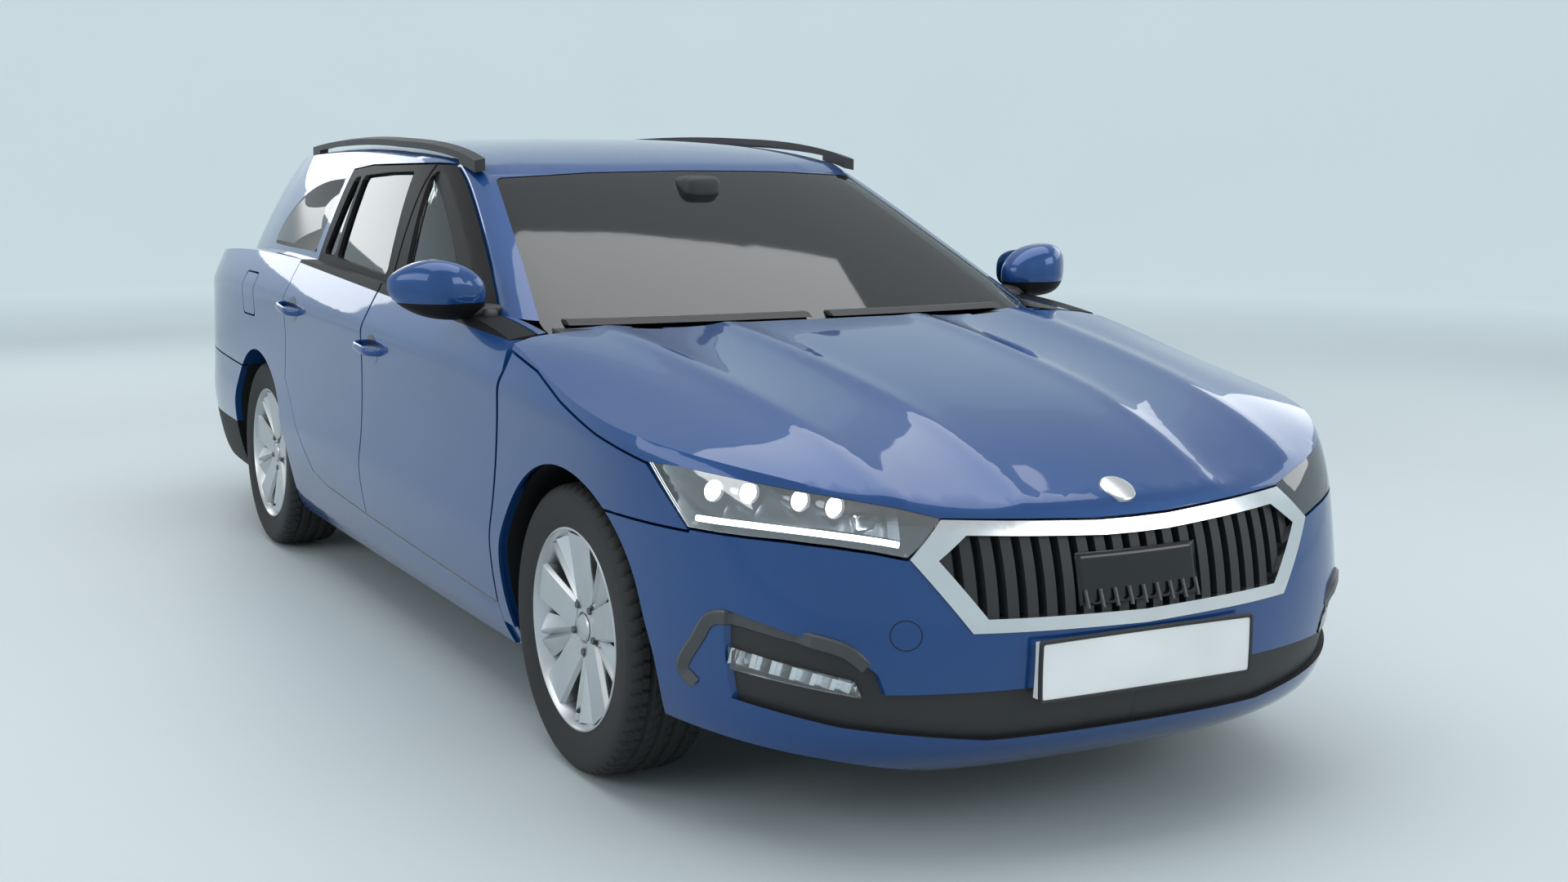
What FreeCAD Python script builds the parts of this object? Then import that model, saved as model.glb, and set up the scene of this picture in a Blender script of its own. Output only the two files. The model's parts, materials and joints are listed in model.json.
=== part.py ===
import FreeCAD, Part
import math
import os

Vector = FreeCAD.Vector
doc = FreeCAD.newDocument("StationWagon")

# Driving dimensions in millimetres and degrees
# x runs forward, y to the left, z up; the origin is on the ground below the middle
sizeTable = (
    ("overall_length", 4689),
    ("body_width", 1829),
    ("wheelbase", 2686),
    ("front_axle_x", 1465),
    ("track_width", 1540),
    ("tyre_radius", 328),
    ("tyre_width", 205),
    ("tyre_wall_radius", 290),
    ("rim_radius", 229),
    ("rim_width", 195),
    ("rim_wall", 12),
    ("spoke_depth", 34),
    ("hub_radius", 72),
    ("hub_length", 70),
    ("disc_radius", 150),
    ("disc_thickness", 22),
    ("arch_radius", 372),
    ("arch_lining", 5),
    ("well_depth", 515),
    ("rear_well_depth", 310),
    ("waist_height", 1000),
    ("roof_height", 1437),
    ("skin_thickness", 9),
    ("door_thickness", 92),
    ("frame_thickness", 40),
    ("roof_thickness", 27),
    ("bonnet_thickness", 22),
    ("bumper_thickness", 24),
    ("tailgate_thickness", 55),
    ("panel_gap", 6),
    ("bonnet_corner_gap", 11),
    ("floor_edge_gap", 0.6),
    ("fender_rear_gap", 12),
    ("post_clearance", 24),
    ("inner_lamp_drop", 24),
    ("post_width", 100),
    ("rear_line_drop", 20),
    ("rear_line_rise", 200),
    ("corner_share", 0.4878),
    ("straight_angle", 0.02),
    ("same_place", 0.0001),
    ("stretch_limit", 0.35),
    ("fit_gap", 0.3),
    ("glass_thickness", 5),
    ("glass_depth", 12),
    ("window_corner", 18),
    ("fender_low", 245),
    ("intake_start", 2030),
    ("bumper_line", 640),
    ("lamp_length", 120),
    ("lamp_slant", 112),
    ("grille_corner", 20),
    ("screen_limit", 150),
    ("glass_corner", 30),
    ("roof_overhang", 710),
    ("roof_panel_width", 1170),
    ("roof_split", 1325),
    ("sash_width", 24),
    ("tail_lamp_low", 800),
    ("tail_lamp_high", 955),
    ("tail_lamp_length", 400),
    ("tail_lamp_slant", 110),
    ("pillar_clearance", 8),
    ("rear_bumper_line", 636),
    ("bumper_clearance", 215),
    ("screen_depth", 2),
    ("inner_lamp_y", 310),
    ("lamp_depth", 38),
    ("lens_thickness", 3),
    ("headlamp_depth", 110),
    ("lamp_wall", 3),
    ("trim_inset", 14),
    ("trim_thickness", 6),
    ("ring_proud", 4),
    ("slat_inset", 10),
    ("slat_depth", 28),
    ("slat_width", 24),
    ("slat_count", 21),
    ("kick_distance", 25),
    ("rear_beam_gap", 75),
    ("rear_panel_low", 250),
    ("rail_top", 620),
    ("nose_space", 120),
    ("liner_inset", 25),
    ("axle_z", 300),
    ("cowl_depth", 12),
    ("cowl_start", 960),
    ("face_inset", 10),
    ("hub_back", -58),
    ("bore_end", -20),
    ("spindle_radius", 20),
    ("spoke_pairs", 5),
    ("spoke_split", 10),
    ("knuckle_clearance", 6),
    ("knuckle_width", 40),
    ("carrier_radius", 55),
    ("kingpin_y", 700),
    ("caliper_reach", 35),
    ("caliper_inner", 100),
    ("caliper_half", 60),
    ("trailing_arm_y", 540),
    ("column_gap", 40),
    ("column_length", 420),
    ("mirror_z", 1010),
    ("mirror_x", 690),
    ("mirror_depth", 120),
    ("mirror_corner", 22),
    ("mirror_arm_drop", 62),
    ("roof_rail_front", 250),
    ("roof_rail_back", -1700),
    ("rail_bar", 20),
    ("rail_foot", 130),
    ("rear_plate_inset", 8),
    ("rear_plate_z", 726),
    ("exhaust_front", 1050),
    ("exhaust_back", -1750),
    ("exhaust_y", 250),
    ("silencer_length", 420),
    ("silencer_x", -2150),
    ("flap_thickness", 12),
    ("flap_pocket", 55),
    ("wiper_height", 14),
    ("wiper_z", 965),
    ("wiper_width", 12),
    ("sill_width", 150),
    ("floor_height", 185),
    ("floor_thickness", 25),
    ("load_floor_height", 560),
    ("firewall_x", 1130),
    ("firewall_thickness", 20),
    ("firewall_height", 900),
    ("pillar_depth", 55),
    ("engine_length", 520),
    ("engine_width", 610),
    ("engine_height", 480),
    ("engine_base", 210),
    ("engine_x", 1220),
    ("rail_tube", 60),
    ("rail_spread", 690),
    ("seat_width", 510),
    ("seat_length", 520),
    ("seat_spread", 720),
    ("cushion_height", 160),
    ("cushion_base", 230),
    ("backrest_height", 600),
    ("backrest_thickness", 130),
    ("backrest_tilt", 22),
    ("front_seat_x", 400),
    ("bench_x", -775),
    ("bench_width", 1170),
    ("bench_length", 470),
    ("headrest_width", 250),
    ("headrest_height", 180),
    ("headrest_thickness", 90),
    ("headrest_lift", 9),
    ("support_half", 6),
    ("cushion_round_share", 0.2),
    ("dash_depth", 420),
    ("dash_x", 700),
    ("dash_width", 1360),
    ("dash_height", 320),
    ("dash_base", 600),
    ("steering_radius", 182),
    ("steering_tube", 16),
    ("octagon_share", 0.414),
    ("steering_x", 470),
    ("steering_y", 370),
    ("steering_z", 830),
    ("steering_tilt", 24),
    ("column_radius", 28),
    ("plate_width", 520),
    ("plate_height", 112),
    ("plate_stand", 8),
    ("plate_z", 386),
    ("rail_height", 34),
    ("rail_width", 32),
    ("axle_radius", 32),
    ("exhaust_radius", 26),
)

sheet = doc.addObject("Spreadsheet::Sheet", "Sizes")
for rowNumber, (alias, value) in enumerate(sizeTable, start=1):
    sheet.set("A" + str(rowNumber), alias)
    sheet.set("B" + str(rowNumber), str(value))
    sheet.setAlias("B" + str(rowNumber), alias)
doc.recompute()


def size(alias):
    """Value of one named cell."""
    return float(sheet.get(alias))


halfLength = size("overall_length") / 2
halfWidth = size("body_width") / 2
waist = size("waist_height")
roofTop = size("roof_height")
frontAxle = size("front_axle_x")
rearAxle = frontAxle - size("wheelbase")
wheelZ = size("tyre_radius")
gap = size("panel_gap")
fit = size("fit_gap")
reach = size("overall_length")
origin = Vector(0, 0, 0)
xAxis = Vector(1, 0, 0)
yAxis = Vector(0, 1, 0)
zAxis = Vector(0, 0, 1)
nodes = []


def poleSurface(grid):
    """Smooth surface of degree three over a grid of poles, clamped at its four edges."""
    degree = 3

    def knots(count):
        spans = count - degree
        inner = [1] * (spans - 1)
        return [degree + 1] + inner + [degree + 1], [float(k) for k in range(spans + 1)]

    uCount, uKnots = knots(len(grid))
    vCount, vKnots = knots(len(grid[0]))
    surface = Part.BSplineSurface()
    surface.buildFromPolesMultsKnots(grid, uCount, vCount, uKnots, vKnots, False, False, degree, degree)
    return surface


def halfSolid(surface):
    """Solid between a wrap round the left half and the middle plane, flat at top and bottom."""
    u0, u1, v0, v1 = surface.bounds()
    rear = surface.uIso(u0).toShape()
    front = surface.uIso(u1).toShape()
    bottom = surface.vIso(v0).toShape()
    top = surface.vIso(v1).toShape()
    low = Part.makeLine(surface.value(u0, v0), surface.value(u1, v0))
    high = Part.makeLine(surface.value(u0, v1), surface.value(u1, v1))
    faces = [surface.toShape()]
    faces.append(Part.Face(Part.Wire(Part.__sortEdges__([bottom, low]))))
    faces.append(Part.Face(Part.Wire(Part.__sortEdges__([top, high]))))
    faces.append(Part.Face(Part.Wire(Part.__sortEdges__([rear, high, front, low]))))
    shell = Part.makeShell(faces)
    shell.sewShape()
    solid = Part.Solid(shell)
    if solid.Volume < 0:
        solid.reverse()
    return solid


def mirrored(shape):
    """The same piece on the right side."""
    return shape.mirror(origin, yAxis)


def bothSides(shape):
    """One solid from a left half and its mirror image."""
    return shape.fuse(mirrored(shape))


# Lower body: plan outline from the middle of the tail round the left side to the nose
planShares = (
    (-1.0, 0.0), (-1.0, 0.33), (-0.9945, 0.61), (-0.970, 0.84), (-0.908, 0.955), (-0.768, 0.990),
    (-0.521, 1.0), (-0.213, 1.0), (0.128, 1.0), (0.4265, 0.9985), (0.625, 0.993), (0.768, 0.972),
    (0.876, 0.885), (0.952, 0.705), (0.990, 0.44), (1.0, 0.22), (1.0, 0.0),
)
# Each station mixes four profiles: tail, rear flank, front flank, nose
mixShares = (
    (1, 0, 0, 0), (1, 0, 0, 0), (1, 0, 0, 0), (0.7, 0.3, 0, 0), (0.3, 0.7, 0, 0), (0, 1, 0, 0),
    (0, 1, 0, 0), (0, 0.88, 0.12, 0), (0, 0.72, 0.28, 0), (0, 0.56, 0.44, 0), (0, 0.24, 0.76, 0),
    (0, 0, 1, 0), (0, 0, 0.65, 0.35), (0, 0, 0.25, 0.75), (0, 0, 0, 1), (0, 0, 0, 1), (0, 0, 0, 1),
)
# Profiles from bottom to top: height as a share of the waist, inset as a share of the half width
tailShares = (
    (0.10, 0.190), (0.17, 0.098), (0.23, 0.049), (0.30, 0.024), (0.38, 0.011), (0.47, 0.004), (0.56, 0.0),
    (0.65, 0.007), (0.74, 0.022), (0.81, 0.042), (0.86, 0.057), (0.90, 0.066), (0.96, 0.079), (1.15, 0.12),
)
rearFlankShares = (
    (0.10, 0.153), (0.165, 0.109), (0.215, 0.068), (0.29, 0.042), (0.40, 0.015), (0.50, 0.0), (0.56, 0.011),
    (0.68, 0.013), (0.80, 0.009), (0.88, 0.004), (0.92, 0.0), (0.95, 0.017), (1.03, 0.060), (1.15, 0.142),
)
frontFlankShares = (
    (0.10, 0.153), (0.165, 0.109), (0.215, 0.068), (0.29, 0.042), (0.38, 0.022), (0.44, 0.009), (0.50, 0.013),
    (0.62, 0.013), (0.70, 0.009), (0.75, 0.004), (0.79, 0.0), (0.825, 0.022), (0.93, 0.068), (1.15, 0.208),
)
noseShares = (
    (0.10, 0.273), (0.15, 0.153), (0.20, 0.055), (0.26, 0.020), (0.33, 0.009), (0.43, 0.003), (0.52, 0.013),
    (0.60, 0.033), (0.656, 0.057), (0.712, 0.098), (0.76, 0.158), (0.80, 0.246), (0.87, 0.459), (1.15, 0.98),
)


def planNormals():
    """Outward direction of the plan outline at each station."""
    nose = halfLength - size("plate_stand")
    points = [Vector(x * (nose if x > 0 else halfLength), y * halfWidth, 0) for x, y in planShares]
    last = len(points) - 1
    normals = []
    for number in range(len(points)):
        along = points[min(number + 1, last)] - points[max(number - 1, 0)]
        normals.append(Vector(-along.y, along.x, 0).normalize())
    normals[0] = Vector(-1, 0, 0)
    normals[1] = Vector(-1, 0, 0)
    normals[last] = Vector(1, 0, 0)
    normals[last - 1] = Vector(1, 0, 0)
    return points, normals


def lowerBody(inset):
    """Left half of the lower body, its whole skin moved inwards by the inset."""
    points, normals = planNormals()
    profiles = (tailShares, rearFlankShares, frontFlankShares, noseShares)
    grid = []
    for point, normal, mix in zip(points, normals, mixShares):
        column = []
        for row in range(len(tailShares)):
            height = sum(share * profile[row][0] for share, profile in zip(mix, profiles)) * waist
            depth = sum(share * profile[row][1] for share, profile in zip(mix, profiles)) * halfWidth
            place = point + normal * (-depth - inset)
            column.append(Vector(place.x, max(place.y, 0) if point.y > 0 else 0, height))
        grid.append(column)
    return halfSolid(poleSurface(grid))


# Bonnet and waist: columns across as shares of the half width, narrowing to the nose
deckColumnShares = (0.0, 0.16, 0.27, 0.315, 0.36, 0.50, 0.61, 0.66, 0.71, 0.82, 0.93, 1.08)
# Each row: x as a share of the half length, column squeeze, middle height and the drop of each column
deckRowShares = (
    (1.06, 0.80, 0.600, (0, 0, 0.002, 0.000, 0.008, 0.016, 0.020, 0.020, 0.034, 0.07, 0.12, 0.20)),
    (0.98, 0.82, 0.672, (0, 0, 0.002, 0.000, 0.008, 0.014, 0.016, 0.016, 0.024, 0.04, 0.06, 0.11)),
    (0.915, 0.85, 0.760, (0, 0, 0.003, 0.000, 0.010, 0.012, 0.010, 0.004, 0.012, 0.020, 0.028, 0.07)),
    (0.83, 0.89, 0.835, (0, 0, 0.003, -0.002, 0.010, 0.012, 0.010, 0.004, 0.014, 0.022, 0.034, 0.060)),
    (0.725, 0.93, 0.885, (0, 0, 0.003, -0.004, 0.010, 0.014, 0.008, 0.002, 0.016, 0.025, 0.046, 0.075)),
    (0.60, 0.97, 0.930, (0, 0, 0.003, -0.005, 0.010, 0.014, 0.006, -0.002, 0.012, 0.015, 0.042, 0.080)),
    (0.48, 1.0, 0.966, (0, 0, 0.003, -0.006, 0.009, 0.012, 0.004, -0.006, 0.004, 0.004, 0.015, 0.04)),
    (0.34, 1.0, 0.985, (0, 0, 0, 0, 0, 0, 0, 0, 0, 0, 0, 0)),
    (0.13, 1.0, 1.005, (0, 0, 0, 0, 0, 0, 0, 0, 0, 0, 0, 0)),
    (-0.21, 1.0, 1.035, (0, 0, 0, 0, 0, 0, 0, 0, 0, 0, 0, 0)),
    (-0.51, 1.0, 1.045, (0, 0, 0, 0, 0, 0, 0, 0, 0, 0, 0, 0)),
    (-0.72, 1.0, 1.040, (0, 0, 0, 0, 0, 0, 0, 0, 0, 0, 0, 0)),
    (-0.90, 1.0, 1.010, (0, 0, 0, 0, 0, 0, 0, 0, 0, 0, 0, 0)),
    (-1.06, 1.0, 0.985, (0, 0, 0, 0, 0, 0, 0, 0, 0, 0, 0, 0)),
)


def deckBody(depth):
    """Everything below the bonnet and waist surface, lowered by the depth."""
    grid = []
    for xShare, squeeze, middle, drops in deckRowShares:
        half = [(share * squeeze * halfWidth, (middle - drop) * waist - depth)
                for share, drop in zip(deckColumnShares, drops)]
        column = [Vector(xShare * halfLength, -y, z) for y, z in reversed(half[1:])]
        column += [Vector(xShare * halfLength, y, z) for y, z in half]
        grid.append(column)
    return poleSurface(grid).toShape().extrude(Vector(0, 0, -reach))


# Cabin: each level gives its height, the side, the windscreen and the rear window
cabinLevelShares = (
    (0.49, 0.957, 0.665, -0.958), (0.59, 0.951, 0.546, -0.962), (0.66, 0.932, 0.463, -0.968),
    (0.765, 0.869, 0.337, -0.934), (0.87, 0.796, 0.209, -0.891), (0.93, 0.747, 0.134, -0.861),
    (0.974, 0.703, 0.070, -0.840), (1.045, 0.628, -0.020, -0.802),
)
# Stations of one level: a mix of rear window x and windscreen x, an offset along the half length
# and the share of the side's distance
cabinStationShares = (
    (1, 0.0, 0.0), (1, 0.0, 0.32), (1, 0.006, 0.60), (1, 0.035, 0.800), (1, 0.10, 0.855), (1, 0.17, 0.885),
    (0.75, 0.0, 0.945), (0.45, 0.0, 0.990), (0.2, 0.0, 1.0), (0, -0.13, 0.972), (0, -0.06, 0.925),
    (0, -0.024, 0.862), (0, -0.01, 0.62), (0, 0.0, 0.33), (0, 0.0, 0.0),
)


def cabinBody(inset):
    """Left half of the cabin, its skin moved inwards by the inset."""
    grid = []
    for rearMix, offset, side in cabinStationShares:
        column = []
        for level, sideShare, screenShare, tailShare in cabinLevelShares:
            xTail = tailShare * halfLength + inset
            xScreen = screenShare * halfLength - inset * 2
            x = rearMix * xTail + (1 - rearMix) * xScreen + offset * halfLength
            y = side * (sideShare * halfWidth - inset)
            column.append(Vector(x, y, level * roofTop))
        grid.append(column)
    return halfSolid(poleSurface(grid))


roofColumnShares = (0.0, 0.22, 0.44, 0.57, 0.66, 0.74, 0.84, 1.0)
roofDropShares = (0.0, 0.001, 0.006, 0.013, 0.023, 0.040, 0.088, 0.215)
# Each row: x as a share of the half length, height in the middle and how much of the drop it has
roofRowShares = (
    (0.60, 0.62, 0.5), (0.27, 0.845, 0.5), (0.165, 0.917, 0.55), (0.085, 0.958, 0.7), (-0.02, 0.984, 0.9),
    (-0.15, 0.997, 1), (-0.34, 1.002, 1), (-0.55, 0.993, 1), (-0.75, 0.974, 1), (-0.875, 0.953, 1), (-1.10, 0.90, 1),
)


def roofBody(depth):
    """Everything below the roof surface, lowered by the depth."""
    grid = []
    for xShare, middle, fall in roofRowShares:
        half = [(share * halfWidth, (middle - drop * fall) * roofTop - depth)
                for share, drop in zip(roofColumnShares, roofDropShares)]
        column = [Vector(xShare * halfLength, -y, z) for y, z in reversed(half[1:])]
        column += [Vector(xShare * halfLength, y, z) for y, z in half]
        grid.append(column)
    return poleSurface(grid).toShape().extrude(Vector(0, 0, -reach))


def roundedWire(points, radius, place):
    """Closed outline with every corner rounded; place turns a pair into a point in space."""
    count = len(points)
    flat = [Vector(u, v, 0) for u, v in points]
    edges = []
    starts = []
    for number in range(count):
        before, corner, after = flat[number - 1], flat[number], flat[(number + 1) % count]
        back = (before - corner).normalize()
        ahead = (after - corner).normalize()
        angle = back.getAngle(ahead)
        straight = math.pi - angle
        limit = min((before - corner).Length, (after - corner).Length) * size("corner_share")
        cut = min(radius / math.tan(angle / 2), limit) if straight > size("straight_angle") else 0
        if radius <= 0:
            cut = 0
        first = corner + back * cut
        last = corner + ahead * cut
        middle = None
        if cut > 0:
            bisector = (back + ahead).normalize()
            bend = cut * math.tan(angle / 2)
            middle = corner + bisector * (bend / math.sin(angle / 2) - bend)
        starts.append((first, middle, last))
    for number in range(count):
        first, middle, last = starts[number]
        if middle is not None:
            edges.append(Part.Arc(place(first), place(middle), place(last)).toShape())
        following = starts[(number + 1) % count][0]
        if last.distanceToPoint(following) > size("same_place"):
            edges.append(Part.makeLine(place(last), place(following)))
    return Part.Wire(edges)


def sidePrism(points, yFrom, yTo, radius=0):
    """Prism across the car from an outline of x and z."""
    wire = roundedWire(points, radius, lambda p: Vector(p.x, yFrom, p.y))
    return Part.Face(wire).extrude(Vector(0, yTo - yFrom, 0))


def frontPrism(points, xFrom, xTo, radius=0):
    """Prism along the car from an outline of y and z."""
    wire = roundedWire(points, radius, lambda p: Vector(xFrom, p.x, p.y))
    return Part.Face(wire).extrude(Vector(xTo - xFrom, 0, 0))


def planPrism(points, zFrom, zTo, radius=0):
    """Upright prism from an outline of x and y."""
    wire = roundedWire(points, radius, lambda p: Vector(p.x, p.y, zFrom))
    return Part.Face(wire).extrude(Vector(0, 0, zTo - zFrom))


def taperedPrism(outer, inner, yOuter, yInner):
    """Door-shaped block whose outline changes from the outer to the inner one."""
    wires = []
    for points, y in ((outer, yOuter), (inner, yInner)):
        wires.append(Part.makePolygon([Vector(x, y, z) for x, z in points + points[:1]]))
    return Part.makeLoft(wires, True, True)


def box(xFrom, xTo, yFrom, yTo, zFrom, zTo):
    """Plain block between two corners."""
    return Part.makeBox(xTo - xFrom, yTo - yFrom, zTo - zFrom, Vector(xFrom, yFrom, zFrom))


def cylinderAcross(x, z, radius, yFrom, yTo):
    """Cylinder across the car."""
    return Part.makeCylinder(radius, yTo - yFrom, Vector(x, yFrom, z), yAxis)


def largest(shape):
    """The biggest solid of a cut, without slivers."""
    return max(shape.Solids, key=lambda solid: solid.Volume)


def keep(name, shape):
    """Puts a finished piece in the document under its file name."""
    feature = doc.addObject("Part::Feature", name)
    feature.Shape = shape
    feature.Label = name
    nodes.append(feature)
    return shape


def taken(shares):
    """Side view shares of the wheelbase, counted from the rear axle, and of the waist."""
    return [(rearAxle + row[0] * size("wheelbase"), row[1] * waist) for row in shares]


def fronted(shares):
    """Front view shares of the half width and the waist."""
    return [(row[0] * halfWidth, row[1] * waist) for row in shares]


def paired(points):
    """A right-to-left outline from its left half, which starts and ends in the middle."""
    return points + [(-y, z) for y, z in reversed(points[1:-1])]


def grown(points, distance):
    """The outline with every edge moved outwards by the distance, inwards if it is negative."""
    count = len(points)
    area = sum(points[k - 1][0] * points[k][1] - points[k][0] * points[k - 1][1] for k in range(count))
    turn = 1 if area > 0 else -1
    moved = []
    for k in range(count):
        (ax, ay), (bx, by), (cx, cy) = points[k - 1], points[k], points[(k + 1) % count]
        first = Vector(by - ay, ax - bx, 0).normalize() * turn
        second = Vector(cy - by, bx - cx, 0).normalize() * turn
        middle = (first + second).normalize()
        stretch = distance / max(middle.dot(first), size("stretch_limit"))
        moved.append((bx + middle.x * stretch, by + middle.y * stretch))
    return moved


# Skins of the whole left half
outerLower = lowerBody(0).common(deckBody(0))
cabinOuter = cabinBody(0).common(roofBody(0))
outer = outerLower.fuse(cabinOuter)
doorCavity = lowerBody(size("door_thickness")).common(deckBody(0))
cabinCavity = cabinBody(size("frame_thickness")).common(roofBody(size("roof_thickness")))
cavity = doorCavity.fuse(cabinCavity)
wall = outer.cut(cavity)
yOut = halfWidth + size("door_thickness")
yIn = halfWidth / 2


def wheelWell(axleX, depth, radius):
    """Space of one wheel on the left side."""
    return cylinderAcross(axleX, wheelZ, radius, halfWidth - depth, yOut)


frontWell = wheelWell(frontAxle, size("well_depth"), size("arch_radius"))
rearWell = wheelWell(rearAxle, size("rear_well_depth"), size("arch_radius"))

frontDoorShares = (
    (0.8380, 0.290, 0), (0.8500, 0.500, 0), (0.8771, 0.875, 0), (0.8641, 0.955, 0), (0.8548, 0.975, 0),
    (0.8176, 1.078, 0), (0.7673, 1.170, 0), (0.7152, 1.249, 0), (0.6631, 1.298, 0), (0.6109, 1.328, 0),
    (0.5328, 1.350, 0), (0.4140, 1.356, 1), (0.4687, 1.000, 1), (0.4695, 0.900, 1), (0.4557, 0.636, 1),
    (0.4397, 0.325, 1),
)
rearDoorShares = (
    (0.4118, 1.356, 1), (0.4661, 1.000, 1), (0.4669, 0.900, 1), (0.4543, 0.636, 1), (0.4397, 0.325, 1),
    (0.3057, 0.345, 0), (0.2345, 0.370, 2), (0.1270, 0.640, 2), (0.1400, 0.800, 2), (0.1392, 0.950, 2),
    (0.1322, 1.040, 2), (0.1176, 1.334, 2), (0.2461, 1.349, 0),
)
frontGlassShares = (
    (0.8213, 1.000), (0.7822, 1.105), (0.7375, 1.178), (0.6929, 1.235), (0.6407, 1.276), (0.5886, 1.304),
    (0.5216, 1.324), (0.4564, 1.335), (0.5216, 1.018),
)
rearGlassShares = ((0.4602, 1.030), (0.4080, 1.332), (0.3243, 1.328), (0.2319, 1.316), (0.2491, 1.056))
sidePaneShares = ((0.2368, 1.058), (0.2208, 1.315), (0.1977, 1.308), (0.1865, 1.060))
quarterGlassShares = (
    (0.1437, 1.065), (0.1567, 1.302), (0.0823, 1.290), (0.0153, 1.262), (-0.0406, 1.215), (-0.0815, 1.150),
    (-0.1039, 1.085), (-0.1001, 1.062),
)
grilleOuterShares = ((0, 0.660), (0.098, 0.661), (0.465, 0.681), (0.549, 0.611), (0.429, 0.467), (0, 0.456))
grilleInnerShares = ((0, 0.632), (0.087, 0.633), (0.421, 0.651), (0.490, 0.607), (0.394, 0.493), (0, 0.483))
bonnetLineShares = (
    (0, 0.664), (0.098, 0.665), (0.465, 0.683), (0.547, 0.703), (0.657, 0.723), (0.801, 0.746), (0.902, 0.763),
    (1.2, 0.763),
)
lampLowShares = (
    (0.498, 0.650), (0.551, 0.613), (0.616, 0.626), (0.689, 0.636), (0.769, 0.643), (0.900, 0.646), (1.2, 0.646),
)
intakeShares = (
    (0, 0.350), (0.601, 0.350), (0.618, 0.390), (0.667, 0.430), (0.875, 0.500), (0.968, 0.340), (0.678, 0.280),
    (0.372, 0.245), (0, 0.245),
)
lipShares = ((0, 0.150), (0.437, 0.155), (0.678, 0.200), (0.929, 0.235), (1.2, 0.240))
screenShares = ((0, 0.930), (0.815, 0.930), (0.634, 1.316), (0.328, 1.330), (0, 1.334))
fogShares = ((0.640, 0.340), (0.656, 0.375), (0.875, 0.425), (0.913, 0.400), (0.875, 0.378))
hatchShares = (
    (0, 0.640), (0.612, 0.640), (0.640, 0.780), (0.669, 0.800), (0.716, 0.960), (0.700, 1.060), (0.645, 1.250),
    (0.612, 1.345), (0.590, 1.400), (0, 1.420),
)
hatchGlassShares = ((0, 1.010), (0.645, 1.010), (0.569, 1.290), (0.525, 1.312), (0, 1.320))
shoulderShares = ((0.8798, 0.925), (0.942, 0.895), (1.0, 0.846), (1.070, 0.798), (1.134, 0.763))
bonnetRearShares = ((0, 0.8708), (0.383, 0.8660), (0.765, 0.8559), (0.870, 0.8670), (0.984, 0.8820), (1.3, 0.8820))
sideTaperShares = (0, 0.287, 0.445)


# Front view of the side that the doors open in, outside the windscreen pillars
doorFaceShares = (
    (0.5, 0), (0.5, 0.95), (0.869, 0.951), (0.798, 1.10), (0.697, 1.313), (0.66, 1.40), (1.3, 1.40), (1.3, 0),
)


def besideScreen(spread):
    """Region of the left side outside the windscreen pillar."""
    return frontPrism(grown(fronted(doorFaceShares), spread), -reach, reach)


def doorOutlines(shares, spread):
    """Outer and inner outline of a door, whose marked points run forwards with depth."""
    outerPoints = taken(shares)
    innerPoints = [(x + (yOut - yIn) * sideTaperShares[row[2]], z) for (x, z), row in zip(outerPoints, shares)]
    return grown(outerPoints, spread), grown(innerPoints, spread)


def doorBlock(shares, spread):
    """The tapered block that a door is cut with."""
    outerPoints, innerPoints = doorOutlines(shares, spread)
    return taperedPrism(outerPoints, innerPoints, yOut, yIn).common(besideScreen(spread))


glassDepth = size("glass_depth")
glassShell = cabinBody(glassDepth).cut(cabinBody(glassDepth + size("glass_thickness")))


def paneHole(shares, radius):
    """Opening of a side window."""
    return sidePrism(taken(shares), yIn, yOut, radius).common(besideScreen(-size("sash_width")))


def pane(shares, radius):
    """Glass of a side window, a fit inside its opening."""
    region = besideScreen(-size("sash_width") - fit)
    return glassShell.common(sidePrism(grown(taken(shares), -fit), yIn, yOut, radius)).common(region)


corner = size("window_corner")
frontDoor = wall.common(doorBlock(frontDoorShares, -gap / 2)).cut(paneHole(frontGlassShares, corner))
frontDoor = largest(frontDoor)
rearDoor = wall.common(doorBlock(rearDoorShares, -gap / 2))
rearDoor = largest(rearDoor.cut(paneHole(rearGlassShares, corner)).cut(paneHole(sidePaneShares, corner)))
frontGlass = pane(frontGlassShares, corner)
rearGlass = Part.makeCompound([pane(rearGlassShares, corner), pane(sidePaneShares, corner)])
for side, flip in (("left", False), ("right", True)):
    for name, shape in (("front_door", frontDoor), ("rear_door", rearDoor),
                        ("front_door_glass", frontGlass), ("rear_door_glass", rearGlass)):
        keep(name + "_" + side, mirrored(shape) if flip else shape)

# Panels round the doors
frontLine = fronted(bonnetLineShares)
aboveFront = frontPrism(paired(frontLine + [(frontLine[-1][0], roofTop), (0, roofTop)]), -reach, reach)
shoulder = taken(shoulderShares)
shoulderTip = (shoulder[-1][0] + size("lamp_length"), shoulder[-1][1] - size("lamp_length"))
shoulderLine = [shoulder[0]] + shoulder[1:] + [shoulderTip, (reach, shoulderTip[1])]
shoulderStart = (rearAxle, shoulder[0][1])


def aboveShoulder(lift):
    """Everything above the line along the top of the fenders."""
    line = [shoulderStart] + shoulderLine
    points = [(x, z + lift) for x, z in line] + [(reach, roofTop), (rearAxle, roofTop)]
    return sidePrism(points, -reach, reach)


def aheadOfScreen(shift):
    """Everything ahead of the rear edge of the bonnet."""
    line = [(rearAxle + x * size("wheelbase") + shift, y * halfWidth) for y, x in bonnetRearShares]
    points = [(x, -y) for x, y in reversed(line)] + line[1:] + [(reach, line[-1][1]), (reach, -line[-1][1])]
    return planPrism(points, 0, roofTop)


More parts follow.
